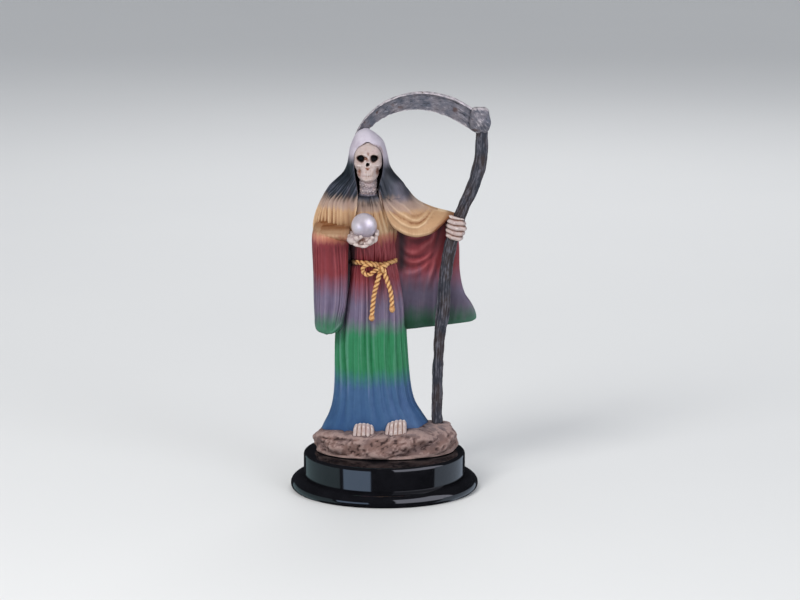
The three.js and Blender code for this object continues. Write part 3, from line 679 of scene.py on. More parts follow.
def knobbly(made, height, seed):
    """Roughens a mesh of units along its normals with small knobs."""
    points, normals = read_all(made.data.vertices, "co"), read_all(made.data.vertex_normals, "vector")
    knobs = np.minimum(cells(points, 0.9, seed), 0.5) - 0.25 + 0.3 * grain(points, 1.1, seed)
    made.data.vertices.foreach_set("co", (points + height * knobs[:, None] * normals).ravel())
    return made


# The joints of each finger of the cupped hand, and its thickness
CUPPED_FINGERS = [
    ([(-9.1, -11.8, 60.9), (-7.6, -13.8, 60.2), (-5.4, -14.2, 59.8), (-3, -13.4, 60.9)], 0.52),
    ([(-5.2, -14.1, 60.4), (-3.9, -14.1, 60.9), (-3.1, -13.8, 62.2)], 0.6),
    ([(-4, -12.6, 60.2), (-2.5, -12.3, 61.2), (-1.9, -12.1, 62.9)], 0.66),
    ([(-4.4, -10.8, 60.4), (-2.6, -10.7, 61.3), (-1.9, -10.6, 63)], 0.7),
    ([(-4.4, -9.2, 60.4), (-2.6, -9, 61.3), (-1.9, -9, 63.2)], 0.7),
    ([(-9.4, -11.4, 62.1), (-8.2, -13.6, 62), (-6.7, -14.4, 61.9), (-6.2, -14.5, 62.6)], 0.6),
    ([(-9.4, -8.2, 61.8), (-7.4, -10, 61.1)], 1.4),
]


def gap_height(x):
    """The arched gap under the thumb."""
    return 61.45 - 0.5 * (x + 5.7) ** 2


def cupped_hand():
    palm = knobbly(ball_of("cup", (-6, -10.8, 61), (3.9, 3.4, 1.75), 60, 36), 0.2, 5)
    heel = knobbly(ball_of("cup", (-8, -12.2, 61.3), (2.1, 2.2, 1.5), 36, 24), 0.15, 8)
    combine(palm, "UNION", [heel, *(digit("cup", joints, radius) for joints, radius in CUPPED_FINGERS)])
    gap = [(x, -14.8 + 0.3 * abs(x + 5.9), gap_height(x)) for x in (-6.9, -6.3, -5.7, -5)]
    return combine(palm, "DIFFERENCE", [tube("cup", gap, 16, 14, gap_radius)])


def gap_radius(t, angle, length):
    return 0.5 * sin(math.pi * np.clip(t, 0.08, 0.92)) ** 0.5


# Height, x, y, radius
STAFF = reading([
    [4, 14.6, -0.2, 1.5],
    [12.3, 14.6, -0.3, 1.4],
    [24.7, 14.9, -0.9, 1.45],
    [31, 15.2, -1.3, 1.5],
    [34.3, 15.45, -1.5, 1.62],
    [37.3, 15.95, -1.75, 1.85],
    [40.3, 16.3, -2, 1.88],
    [44.3, 16.45, -2.2, 1.72],
    [48, 16.65, -2.3, 1.68],
    [55, 17.5, -2.5, 1.65],
    [61, 19, -2.6, 1.7],
    [67.2, 21.2, -2.2, 1.75],
    [71.1, 23.15, -1.6, 1.78],
    [75.4, 24.8, -1, 1.8],
    [79.3, 25.95, -0.4, 1.8],
    [84, 26.6, 0.2, 1.75],
    [90, 26.8, 0.8, 1.7],
])
# Height, left x, right x of the hand on the staff
GRIP = reading([
    [59.7, 17.5, 20.8],
    [61.2, 17.1, 21.7],
    [62.9, 17.1, 22.3],
    [64.5, 17.4, 22.3],
    [65.9, 18, 21.7],
])
# The hand's ends, its fall for each unit to the right, and how many fingers lie between the ends
GRIP_BOTTOM = 59.7
GRIP_TOP = 65.9
GRIP_SLOPE = 0.22
GRIP_FINGERS = 4.6


def staff():
    z, a = column((4, 90, 200)), ring(34)
    x, y, radius = STAFF(z)
    r = radius * (1 + 0.04 * sin(3 * a + 0.25 * z) + 0.035 * sin(0.9 * z))
    points = xyz(x + r * cos(a), y + r * sin(a), z)
    knots = 0.35 * bump(cells(points * [1, 1, 0.8], 0.16, 11), 0.9, 0.35)
    knots = knots * ease(grain(points, 0.12, 2), 0, 0.3)
    drawn = points * [1, 1, 0.5]
    bark = 0.09 * ripples(a, z, 5, 15, 0.3, 14)
    r = r + bark + knots + 0.2 * grain(drawn, 0.7, 6) + 0.08 * grain(drawn, 2, 8)
    return skin("staff", xyz(x + r * cos(a), y + r * sin(a), z))


def finger_place(share, beside):
    """A place up the gripping hand counted in fingers. The gaps lie at whole numbers, and waver."""
    return np.maximum(GRIP_FINGERS * share - 0.05 + 0.1 * sin(1.2 * beside + 4 * share), 0.02)


def gripping_hand():
    share, a = column((0, 1, 84)), around(84, 16)
    z = mix(GRIP_BOTTOM, GRIP_TOP, share)
    staff_x, staff_y, radius = STAFF(z)
    left, right = GRIP(z)
    place = finger_place(share, 2.3 * cos(a))
    number = np.floor(place)
    bones = abs(sin(math.pi * place)) ** 0.6
    ends = 0.5 * ease(np.minimum(share, 1 - share), 0.03, 0)
    along = cos(a) + 0.12 * sin(2.4 * number)
    knuckle = bump(along, -0.75, 0.16) + bump(along, -0.1, 0.13) + bump(along, 0.6, 0.16)
    finger = 0.12 + bones * (0.62 + 0.3 * knuckle) * (1 + 0.12 * sin(3.7 * number + 1)) - ends
    front, back = staff_y - radius - finger, staff_y + 3.4
    side = np.where(cos(a) < 0, staff_x - left, right - staff_x)
    x = staff_x + (side + finger - 0.5) * squared(cos(a), 0.75)
    deep = np.where(sin(a) > 0, (back - staff_y) * np.where(x < staff_x, 1, 0.5), staff_y - front)
    y = staff_y + deep * squared(sin(a), 0.75)
    return skin("grip", xyz(x, y, z - GRIP_SLOPE * (x - staff_x)))


# The tip, the instep and the lean of each foot
FEET = [((-5.7, -10.3, 6.3), (-5.5, -5.4, 10.1), -0.06), ((3.1, -10.3, 7.2), (3.5, -5.4, 10.9), 0.2)]
# Share of the way from the toes' tips, then how high the bones stand and how far the top falls
FOOT = reading([
    [-0.06, 0.5, 0.8],
    [0, 1, 0.1],
    [0.3, 1.1, -0.6],
    [0.5, 0.9, -0.6],
    [0.66, 0.45, -0.1],
    [0.8, 0, 1.2],
    [1, 0, 3],
])
FOOT_HALF_WIDTHS = (3.2, 2.5)


def foot(tip, instep, lean):
    along, side = column((-0.06, 0.1, 9), (0.13, 1, 20)), np.linspace(-1, 1, 80)[None]
    ridge, drop = FOOT(along)
    x, y, z = (mix(start, end, along) for start, end in zip(tip, instep))
    wide = mix(*FOOT_HALF_WIDTHS, along)
    joints = 1 + 0.3 * cos(TURN * (along - 0.03) / 0.27)
    bone = 0.25 * ridge * (2 * abs(cos(math.pi * 2.5 * side)) ** 0.55 - 1.1) * joints
    fall = 0.5 * side**2 + 0.6 * side**6
    forward = y + 0.6 * side**2 * (1 - along) - 0.5 * bone
    top = xyz(x + wide * side, forward, z + lean * wide * side - fall - drop + bone)
    sole = top[:, [-1, 0]].copy()
    sole[..., 2] = z - 3
    return skin("feet", np.concatenate([top, sole], 1))


# The scythe's socket and blade

# Height, left x, right x, half depth
SOCKET = reading([
    [88.8, 25, 28.2, 1.6],
    [89.7, 23.9, 28.8, 2.1],
    [91.4, 23.3, 29.2, 2.4],
    [93.6, 23.4, 28.8, 2.3],
    [94.9, 23.8, 28.6, 2],
    [95.6, 24.5, 27.8, 1.5],
])
# Share of the length from tip to socket, back edge x and height, cutting edge x and height
BLADE = reading([
    [0, -8.6, 85.6, -6.8, 85.2],
    [0.12, -7.5, 89, -4.5, 88.9],
    [0.26, -4.5, 93.5, -1.2, 91.9],
    [0.42, 1.2, 97.7, 3.4, 94.1],
    [0.62, 9.6, 99.9, 9.8, 94.9],
    [0.82, 18.2, 98.6, 17.2, 93.1],
    [1, 24.6, 95.2, 25, 88.7],
])
# Share of the way from the back to the edge, then half the thickness
BLADE_HALF = reading([[0, 0.5], [0.03, 0.85], [0.09, 1], [0.14, 0.8], [0.7, 0.75], [0.93, 0.55], [1, 0.3]])
# The arc that the scratches follow
BLADE_CENTRE = (11, 78.1)
BLADE_RADIUS = 21.8
# x, height, half width, half height, strength
RUST = [
    (19.4, 95, 0.8, 0.8, 1),
    (4.6, 95.6, 0.6, 0.5, 0.7),
    (2.4, 96.2, 0.4, 0.4, 0.6),
    (24.7, 89.6, 1.1, 0.4, 0.9),
]


def socket():
    z, a = column((88.8, 95.6, 36)), ring(80)
    left, right, deep = SOCKET(z)
    points = xyz(swing(left, right, squared(cos(a), 0.5)), 0.9 + deep * squared(sin(a), 0.5), z)
    relief = 0.28 * grain(points, 0.45, 8) + 0.1 * grain(points, 1.2, 2)
    way = xyz(0.3 * cos(a), sin(a), 0)
    return skin("socket", points + (relief[..., None] - 0.03) * way)


def blade():
    share = column((0, 1, 110))
    back_x, back_z, edge_x, edge_z = BLADE(share)
    to = column((0, 0.2, 8), (0.26, 1, 14))[:, 0]
    (thick,) = BLADE_HALF(to)
    thick = thick * mix(1.05, 0.3, to)
    to = np.concatenate([to, to[::-1]])[None]
    thick = np.concatenate([-thick, thick[::-1]])[None]
    ragged = 0.25 * grain(xyz(share * 30, 0, 0), 1, 3) * ease(to, 0.6, 1)
    points = xyz(mix(back_x, edge_x, to), mix(2.4, 0.9, share) + thick, mix(back_z, edge_z, to) + ragged)
    scored = 0.1 * grain(xyz(share * 14, to * 7, np.sign(thick)), 1, 12)
    dents = (scored + 0.12 * grain(points, 0.45, 12)) * np.sign(thick)
    return skin("blade", points + dents[..., None] * np.array([0, 1, 0]))


# The rope belt

ROPE_RADIUS = 0.62
# One turn of the strands, in radii of the rope
ROPE_LAY = 4.4
KNOT = np.array([-0.7, -5.6, BELT_HEIGHT - 1.2])
# The bow's loop, the two tails and the turns over the knot, all measured from the knot
BOW = [
    [-0.3, -0.6, 0.3],
    [-1.5, -1.5, 0.9],
    [-2.7, -1.9, 1.2],
    [-4, -1.8, 1.1],
    [-5, -1.4, 0.3],
    [-5.1, -1.1, -0.8],
    [-4.3, -1, -1.7],
    [-3.1, -1, -1.7],
    [-2.2, -1, -0.9],
    [-0.4, -0.8, 0],
]
TAILS = [
    [[-0.1, -0.4, -0.2], [-0.9, -1, -2.8], [-2, -1, -7.2], [-2.5, -1, -11.2], [-2.7, -1, -13.8]],
    [[0.4, -0.4, -0.2], [1.3, -0.9, -2.8], [2.4, -0.9, -6.2], [2.8, -0.9, -9.2], [2.9, -0.9, -11.4]],
]
KNOT_TURNS = [
    [[-1.1, -0.8, 0.8], [-0.2, -1.4, 0.2], [0.9, -1.1, -0.9]],
    [[1.4, -0.5, 0.8], [0.5, -1.1, 0.6], [-0.5, -1, -0.3]],
]


def rope(points, radius):
    _, _, length = curve(points, 50)

    def strands(t, angle, length):
        twist = TURN * t * length / (ROPE_LAY * radius)
        return radius * (0.68 + 0.42 * abs(cos(angle - twist)) ** 0.9)

    return tube("rope", points, round(length / 0.2), 18, strands)


def belt():
    share = np.linspace(0.46, 1.02, 26)
    waist = on_robe(np.full(26, BELT_HEIGHT), share * ROBE_FOLDS, 0.4)
    waist[:, 2] -= 0.6 * bump(waist[:, 0], KNOT[0], 2.6)
    pieces = [rope(waist, ROPE_RADIUS), rope(np.array(BOW) + KNOT, ROPE_RADIUS * 0.9)]
    for tail in TAILS:
        pieces.append(rope(np.array(tail) + KNOT, ROPE_RADIUS))
        pieces.append(ball_of("rope", np.array(tail[-1]) + KNOT, (0.8, 0.75, 1)))
    pieces += [rope(np.array(turn) + KNOT, ROPE_RADIUS) for turn in KNOT_TURNS]
    return combine(ball_of("rope", KNOT, (1.2, 1, 1.05)), "UNION", pieces)


# The whole casting


def casting():
    cloth = combine(hood(), "DIFFERENCE", [hollow()])
    combine(cloth, "UNION", [cape(), sleeve(), forearm()])
    combine(cloth, "DIFFERENCE", [sleeve_mouth()])
    others = [rock(), robe(), swag(), skull(), neck(), belt(), *(foot(*f) for f in FEET)]
    others += [staff(), socket(), blade(), gripping_hand(), cupped_hand()]
    combine(cloth, "UNION", others)
    return combine(cloth, "DIFFERENCE", [ball_of("seat", BALL_MIDDLE, [BALL_RADIUS + THIN_GAP] * 3, 64, 40)])


# Finishing the mesh and reading its relief


def keep_largest(mesh):
    """Deletes the small loose bits that joining rough surfaces leaves."""
    a, b = read_all(mesh.edges, "vertices", 2, int).T
    group = np.arange(len(mesh.vertices))
    while True:
        low = np.minimum(group[a], group[b])
        joined = group.copy()
        np.minimum.at(joined, a, low)
        np.minimum.at(joined, b, low)
        joined = joined[joined]
        if (joined == group).all():
            break
        group = joined
    main = np.bincount(group).argmax()
    work = bmesh.new()
    work.from_mesh(mesh)
    bmesh.ops.delete(work, geom=[v for v in work.verts if group[v.index] != main], context="VERTS")
    work.to_mesh(mesh)
    work.free()


def relief_of(points, normals, edges, rounds):
    """How far each point stands out of its softened surroundings."""
    a, b = edges.T
    count = len(points)
    share = 1 / np.bincount(edges.ravel(), minlength=count)
    soft = points
    for _ in range(rounds):
        sums = [np.bincount(a, axis[b], count) + np.bincount(b, axis[a], count) for axis in soft.T]
        soft = np.stack(sums, 1) * share[:, None]
    return ((points - soft) * normals).sum(1)


def store(mesh, name, values):
    mesh.attributes.new(name, "FLOAT", "POINT").data.foreach_set("value", values.astype(np.float32))


# Heights where the bands of paint meet: blue, green, violet, red, gold, black and lilac white
MEETINGS = [0, 21, 35.4, 44.3, 58.6, 71.4, 80.6, 100]
MEETINGS_OF = {
    "robe": [0, 21, 35.2, 45.2, 60.4, 68.8, 80.6, 100],
    "sleeve": [0, 21, 37.8, 48.2, 60.8, 71.4, 80.6, 100],
    "forearm": [0, 21, 37.8, 48.2, 60.2, 71.4, 80.6, 100],
    "mouth": [0, 21, 37.8, 48.2, 60.8, 71.4, 80.6, 100],
    "cape": [0, 21, 38.8, 48, 67, 71.4, 80.6, 100],
    "swag": [0, 21, 36, 44, 57, 69.6, 80.6, 100],
    "hood": [0, 21, 35.4, 44.3, 58.6, 70, 81.7, 100],
}


def between(value, low, high, soft):
    """1 from low to high, easing off outside them."""
    return ease(value, low - soft, low) * ease(value, high + soft, high)


def dark_paint_and_shade(x, y, z, on):
    """Where the colour is made nearly black: black paint in the sockets, and painted shade inside the hood,
    between the arms and the body, on the cape's panel and round the collar.
    """
    side = x - SKULL_X
    openings = sum(spot(side, z, place, 0.6, 1.15) for place in SOCKETS + NOSTRILS)
    found = (openings + 0.35 * spot(side, z, CHEEK_SHADOW, 0.2, 1.4)) * on("skull")

    # Painted shade inside the hood, and in the gap beside the right cheek.
    cloth_inside_shade = 0.4 * ease(z, 82, 80) + 0.25 * ease(z, 82, 84)
    hood_inside_shade = ease(z, 68, 72) * (cloth_inside_shade + (0.85 - cloth_inside_shade) * ease(y, -5.4, -4.4))
    cheek_gap_shade = 0.7 * bump(side, 4, 0.5) * bump(z, 81.8, 0.9)
    found = found + np.maximum(hood_inside_shade, cheek_gap_shade) * on("hollow")
    # Painted shade on the hood beside the jaw.
    _, mouth_right, _ = HOLLOW(z)
    found = found + 0.45 * bump(x, mouth_right + 1.3, 1) * between(z, 70, 79, 2) * (y < -2) * on("hood")

    # Painted shade on the cape's panel: in the gap beside the robe, low down, and on the flare right of the
    # staff.
    gap = bump(x, 4.8, 1.5) * ease(z, 49, 52) + 0.75 * bump(x, 5.4, 2.4) * ease(z, 47, 38)
    low = 0.5 + 0.2 * ease(z, 44, 36) - ease(z, 45.5, 54) - ease(x, 13, 15)
    flare_shade = 0.56 * ease(x, 13, 15) * ease(z, 50, 42)
    panel_shade = np.maximum(np.maximum(0.9 * gap, low), flare_shade) * ease(y, 2.5, 0.5)
    # Painted shadow beside the hanging sleeve, on the robe and the belt's left end, and round the collar
    # under the neck.
    beside = ease(-x, 7.3, 8.3) * between(z, 53, 60, 1.5) + ease(-x, 8.6, 9.4) * between(z, 50, 53, 2)
    found = found + panel_shade * on("cape") + 0.85 * beside * on("robe", "rope") + bump(z, 72, 0.75) * on("robe")

    # Painted shade in the sleeve's mouth and in the gap under the thumb; the sleeve also darkens towards its
    # hem.
    mouth, hem = 0.3 + 0.55 * ease(z, 43, 51), 0.13 * ease(z, 41, 37)
    found = found + mouth * on("mouth") + hem * on("sleeve") + 0.35 * thumb_gap(x, y, z) * on("cup")
    return found + 0.22 * ease(-x, 2, 7) * on("blade") + 0.14 * on("socket")


def thumb_gap(x, y, z):
    return between(x, -6.9, -5.1, 0.25) * bump(z, gap_height(x), 0.5) * (y < -12.5)


def brown_stains_and_shade(x, y, z, on):
    """Where the colour turns brown: stains round the sockets, between fingers and toes and along hems, and
    painted shadow along the cloak's opening edge and in the crease above the forearm.
    """
    side = x - SKULL_X
    face = sum(spot(side, z, place, 0, 1.6) for place in STAINS) + spot(side, z, INNER_CORNER, 0.3, 1.4)
    face = face + 0.6 * sum(spot(side, z, place, 1, 2) for place in SOCKETS)
    rust = sum(spot(x, z, place, 0.2, 1.3) for place in RUST)
    found = face * on("skull") + rust * on("blade", "socket")

    _, mouth_right, _ = HOLLOW(z)
    rim = ease(z, 68, 72) * ease(y, -4.6, -5.6) * mix(0.45, 0.7, ease(z, 81, 84))
    brim = 0.6 * bump(x, mouth_right + 0.35, 0.4) * between(z, 81, 86, 0.7) * (y < -4)
    found = found + rim * on("hollow") + brim * on("hood")

    staff_x, _, _ = STAFF(z)
    share = (z + GRIP_SLOPE * (x - staff_x) - GRIP_BOTTOM) / (GRIP_TOP - GRIP_BOTTOM)
    grip = 0.75 * ease(abs(sin(math.pi * finger_place(share, x - staff_x))), 0.75, 0)
    found = found + grip * on("grip") + (0.16 + 0.8 * thumb_gap(x, y, z)) * on("cup") + 0.3 * on("seat")
    for tip, instep, _ in FEET:
        along = (y - tip[1]) / (instep[1] - tip[1])
        beside = (x - mix(tip[0], instep[0], along)) / mix(*FOOT_HALF_WIDTHS, along)
        groove = ease(abs(cos(math.pi * 2.5 * beside)), 0.5, 0.1)
        toes = 0.6 * groove * (abs(beside) < 1.1) * ease(along, 0.8, 0.35)
        found = found + toes * on("feet")

    _, low, _, _ = SWAG(x)
    hem = ease(z - low, 0.7, 0.2) + ease(x, 12, 15) * ease(z - low, 1.8, 0.6)
    # The forearm and the sleeve's front turn browner towards the elbow, and a painted shadow lies in the
    # crease above the forearm.
    elbow = ease(z, 61.2, 62.6)
    crease = mix(0.22, 0.66, elbow) + 0.25 * bump(z, 63.9, 0.5) * (y < -3)
    found = found + 0.6 * hem * on("swag") + crease * on("forearm") + 0.6 * elbow * (y < -2) * on("sleeve")
    # A painted shadow down the cloak's opening edge, left of the bodice.
    return found + 0.6 * bump(x, -9.6, 0.5) * bump(z, 66, 5) * on("hood", "robe")


def paint_map(mesh):
    """Stores what the paint follows: height among the bands, relief with a painted highlight on the bodice,
    dark places of black paint and painted shade, brown places of stains and painted shadow, ashen places with
    a painted highlight on black cloth, and the way along the blade and across it. It gives the part of each
    face."""
    points, normals = read_all(mesh.vertices, "co"), read_all(mesh.vertex_normals, "vector")
    edges = read_all(mesh.edges, "vertices", 2, int)
    parts = read_all(mesh.polygons, "material_index", 1, int)[:, 0]
    corners = read_all(mesh.loops, "vertex_index", 1, int)[:, 0]
    sizes = read_all(mesh.polygons, "loop_total", 1, int)[:, 0]
    part_of = np.zeros(len(points), int)
    part_of[corners] = np.repeat(parts, sizes)
    x, y, z = points.T

    def on(*names):
        return np.isin(part_of, [PARTS.index(name) for name in names])

    band = z.copy()
    for name, places in MEETINGS_OF.items():
        band[on(name)] = np.interp(z[on(name)], places, MEETINGS)
    band += 0.105 * (x - SKULL_X) * bump(z, 81, 4) * on("hood")
    store(mesh, "band", band)
    # A painted highlight on the robe's bodice, added to both reliefs so that the paint there takes its light
    # tones.
    painted_highlight = 1.15 * bump(x, 0.9, 1.6) * between(z, 60.5, 68, 3) + 0.6 * bump(x, -1.5, 3) * bump(z, 56.8, 2.4)
    painted_highlight = (painted_highlight + 0.5 * bump(x, -4, 2.6) * bump(z, 68.3, 1.4)) * on("robe") * (y < 0)
    store(mesh, "relief", np.clip(relief_of(points, normals, edges, 5) / 0.13 + painted_highlight, -1, 1))
    # The broad relief, by which the cloth and bone paint darken broad hollows, partly as painted shade.
    store(mesh, "broad", np.clip(relief_of(points, normals, edges, 40) / 0.5 + 0.7 * painted_highlight, -1, 1))

    # Painted shade on the faces of the hood and swag that turn to the right.
    turned = 0.55 * ease(normals[:, 0], 0.45, 0.85) * between(z, 72, 78, 2) * on("hood", "swag")
    store(mesh, "dark", np.clip(dark_paint_and_shade(x, y, z, on) + turned, 0, 1))
    store(mesh, "brown_stain_and_shade", np.clip(brown_stains_and_shade(x, y, z, on), 0, 1))
    # A lilac-grey painted highlight on the black of the swag and hood, carried by the ashen coat.
    painted_highlight_on_black = 0.5 * bump(x, 5, 2.4) * between(z, 71, 75, 1.5) * on("swag", "hood") * (y < 0)
    palm = (0.2 + 0.45 * ease(-x, 6, 8.5) * ease(z, 60.6, 61.4)) * on("cup")
    store(mesh, "ashen", on("neck") + palm + painted_highlight_on_black)
    over, beside = z - BLADE_CENTRE[1], x - BLADE_CENTRE[0]
    store(mesh, "sweep", BLADE_RADIUS * np.arctan2(over, beside))
    store(mesh, "reach", np.hypot(over, beside))
    return parts


# Materials


def srgb(red, green, blue):
    """A paint tone of 0 to 255 as the shader's colour."""
    tone = np.array([red, green, blue]) / 255
    linear = np.where(tone < 0.04045, tone / 12.92, ((tone + 0.055) / 1.055) ** 2.4)
    return (*linear.tolist(), 1)


def new_node(tree, kind, inputs=(), **settings):
    """A shader node whose inputs are values or the outputs of other nodes."""
    made = tree.nodes.new(kind)
    for name, value in settings.items():
        setattr(made, name, value)
    for key, value in dict(inputs).items():
        if isinstance(value, bpy.types.NodeSocket):
            tree.links.new(value, made.inputs[key])
        else:
            made.inputs[key].default_value = value
    return made


class Finish:
    """A node material while it is built."""

    def __init__(self, name):
        self.material = bpy.data.materials.new(name)
        self.material.use_nodes = True
        self.tree = self.material.node_tree
        self.shader = self.tree.nodes["Principled BSDF"]
        self.place = self.node("ShaderNodeTexCoord").outputs["Object"]

    def node(self, kind, inputs=(), **settings):
        return new_node(self.tree, kind, inputs, **settings)

    def math(self, operation, a, b):
        return self.node("ShaderNodeMath", {0: a, 1: b}, operation=operation).outputs[0]

    def add(self, first, *others):
        for other in others:
            first = self.math("ADD", first, other)
        return first

    def times(self, a, b):
        return self.math("MULTIPLY", a, b)

    def centred(self, value, gain=1):
        """A value from 0 to 1 as one round 0, times a gain."""
        return self.times(self.math("SUBTRACT", value, 0.5), gain)

    def span(self, value, low, high, to_low=0, to_high=1):
        """The value's share of the way from low to high, eased at both ends."""
        inputs = {"Value": value, "From Min": low, "From Max": high, "To Min": to_low, "To Max": to_high}
        return self.node("ShaderNodeMapRange", inputs, interpolation_type="SMOOTHSTEP").outputs[0]

    def mix(self, share, a, b, how="MIX"):
        inputs = {0: share, 6: a, 7: b}
        return self.node("ShaderNodeMix", inputs, data_type="RGBA", blend_type=how).outputs[2]

    def coats(self, colour, *layers):
        """Lays paints over a colour, each as its share and its tone."""
        for share, tone in layers:
            colour = self.mix(share, colour, srgb(*tone))
        return colour

    def stored(self, name):
        return self.node("ShaderNodeAttribute", attribute_name=name).outputs["Fac"]

    def noise(self, per_mm, stretch=(1, 1, 1), detail=3, roughness=0.5, place=None):
        """Noise with a given number of bumps to the millimetre, from 0 to 1."""
        inputs = {0: place or self.place, 1: stretch}
        scaled = self.node("ShaderNodeVectorMath", inputs, operation="MULTIPLY").outputs[0]
        inputs = {"Vector": scaled, "Scale": per_mm * 1000, "Detail": detail, "Roughness": roughness}
        return self.node("ShaderNodeTexNoise", inputs).outputs[0]

    def ramp(self, share, stops):
        made = self.node("ShaderNodeValToRGB", {"Fac": share})
        row = made.color_ramp.elements
        while len(row) < len(stops):
            row.new(1)
        for element, (place, colour) in zip(row, stops):
            element.position = place
            element.color = colour
        return made.outputs["Color"]

    def finish(self, colour, roughness, height=None, depth=0, **values):
        """Sets the shader. height is a relief from 0 to 1 that is depth mm deep."""
        self.tree.links.new(colour, self.shader.inputs["Base Color"])
        if isinstance(roughness, bpy.types.NodeSocket):
            self.tree.links.new(roughness, self.shader.inputs["Roughness"])
        else:
            self.shader.inputs["Roughness"].default_value = roughness
        if height is not None:
            inputs = {"Height": height, "Distance": depth / 1000}
            self.tree.links.new(self.node("ShaderNodeBump", inputs).outputs[0], self.shader.inputs["Normal"])
        for name, value in values.items():
            socket = next(s for s in self.shader.inputs if s.name.lower() == name.replace("_", " "))
            socket.default_value = value
        return self.material


# Tones of each band from the hem up: in the hollows, between, and on the ridges. The hollow and ridge tones
# are partly wash and dry-brushing, partly painted shade and painted highlight.
BLUE = (46, 78, 120), (58, 92, 130), (98, 114, 154)
GREEN = (20, 104, 58), (42, 124, 80), (82, 138, 112)
VIOLET = (80, 68, 92), (110, 98, 122), (142, 126, 144)
RED = (94, 32, 40), (130, 50, 56), (162, 80, 84)
GOLD = (130, 86, 52), (184, 146, 110), (216, 186, 150)
BLACK = (16, 18, 23), (36, 42, 50), (86, 88, 102)
WHITE = (156, 144, 156), (180, 170, 183), (198, 191, 202)
BAND_TONES = [BLUE, GREEN, VIOLET, RED, GOLD, BLACK, WHITE]
# Half the height over which each band blends into the next
BAND_BLENDS = [2.6, 2.3, 3.2, 1.9, 1.9, 1.4]


def band_stops(kind):
    stops = []
    for k, tones in enumerate(BAND_TONES):
        low = MEETINGS[k] + (BAND_BLENDS[k - 1] if k else 0)
        high = MEETINGS[k + 1] - (BAND_BLENDS[k] if k < len(BAND_BLENDS) else 0)
        stops += [(low / 100, srgb(*tones[kind])), (high / 100, srgb(*tones[kind]))]
    return stops


def cloth():
    f = Finish("painted_cloth")
    streaks, hairs = f.noise(0.9, (1, 1, 0.05), 4), f.noise(2.6, (1, 1, 0.05), 3)
    relief, broad, band = f.stored("relief"), f.stored("broad"), f.stored("band")
    wander = f.add(f.centred(streaks, f.span(band, 57, 67, 4.6, 1.8)), f.times(relief, -0.5))
    place = f.math("DIVIDE", f.add(band, wander), 100)
    dark, middle, light = (f.ramp(place, band_stops(kind)) for kind in range(3))
    # Hollows, broad ones most, take the dark tones and ridges the light ones: partly the figure's wash and
    # dry-brushing, partly painted shade and painted highlight.
    height = f.add(f.times(relief, 0.7), f.times(broad, 0.8), f.centred(hairs), f.centred(streaks))
    colour = f.mix(f.span(height, 0, -1.3), middle, dark)
    colour = f.mix(f.span(height, 0, 1.6), colour, light)
    orange = f.times(f.span(place, 0.565, 0.586), f.span(place, 0.61, 0.586, 0, 0.35))
    taupe = f.times(f.span(place, 0.688, 0.704), f.span(place, 0.732, 0.714, 0, 0.55))
    # The ashen coat is a painted highlight on black cloth, the brown coat holds stains and painted shadow,
    # and the near-black coat is mostly painted shade.
    colour = f.coats(
        colour,
        (orange, (186, 84, 58)),
        (taupe, (176, 153, 145)),
        (f.stored("ashen"), (128, 122, 136)),
        (f.stored("brown_stain_and_shade"), (112, 62, 26)),
        (f.stored("dark"), (24, 23, 28)),
    )
    mottle = f.noise(0.5, detail=5, roughness=0.6)
    colour = f.mix(f.span(mottle, 0.35, 0.7, 0, 0.12), colour, srgb(90, 84, 92), "SOFT_LIGHT")
    roughness = f.span(mottle, 0.3, 0.7, 0.42, 0.56)
    return f.finish(colour, roughness, f.noise(3, (1, 1, 0.3), 4), 0.03, specular_ior_level=0.45)


def bone():
    f = Finish("painted_bone")
    ashen = f.stored("ashen")
    height = f.add(f.stored("relief"), f.centred(f.noise(1.2, (1, 1, 0.7), 5, 0.6), 1.4))
    base = f.mix(ashen, srgb(186, 170, 166), srgb(138, 126, 130))
    wash = f.mix(ashen, srgb(126, 86, 68), srgb(74, 60, 68))
    pale = f.mix(ashen, srgb(218, 205, 201), srgb(188, 174, 172))
    # Hollows take the wash tone and ridges the pale one; the brown in the broad hollows is partly wash and
    # partly painted shade.
    colour = f.coats(
        f.mix(f.span(height, 0.1, -1), base, wash),
        (f.span(f.noise(0.35), 0.45, 0.7, 0, 0.5), (186, 162, 162)),
        (f.span(f.stored("broad"), 0, -0.7, 0, 0.6), (140, 106, 92)),
        (f.span(f.noise(0.8, detail=4, roughness=0.6), 0.5, 0.72, 0, 0.4), (164, 130, 104)),
    )
    colour = f.mix(f.span(height, 0.2, 1), colour, pale)
    brown_stain_and_shade = f.times(f.stored("brown_stain_and_shade"), f.span(f.noise(2), 0.35, 0.62, 0.65, 1.1))
    # The near-black coat is black paint in the sockets and nostrils, with painted shade on the right cheek
    # and in the gap under the thumb.
    colour = f.coats(colour, (brown_stain_and_shade, (120, 72, 50)), (f.stored("dark"), (14, 11, 11)))
    return f.finish(colour, 0.5, f.noise(2.4, detail=4), 0.04, specular_ior_level=0.4)


def gold_rope():
    f = Finish("painted_rope")
    height = f.add(f.stored("relief"), f.centred(f.noise(1.6, detail=4), 1.1))
    colour = f.coats(
        f.mix(f.span(height, 0.3, -0.5), srgb(178, 122, 70), srgb(88, 44, 30)),
        (f.span(height, 0.4, 1.1), (224, 178, 120)),
        # The near-black coat is a painted shadow on the belt's left end, beside the hanging sleeve.
        (f.stored("dark"), (40, 24, 22)),
    )
    return f.finish(colour, 0.42, f.noise(3), 0.03, specular_ior_level=0.5)


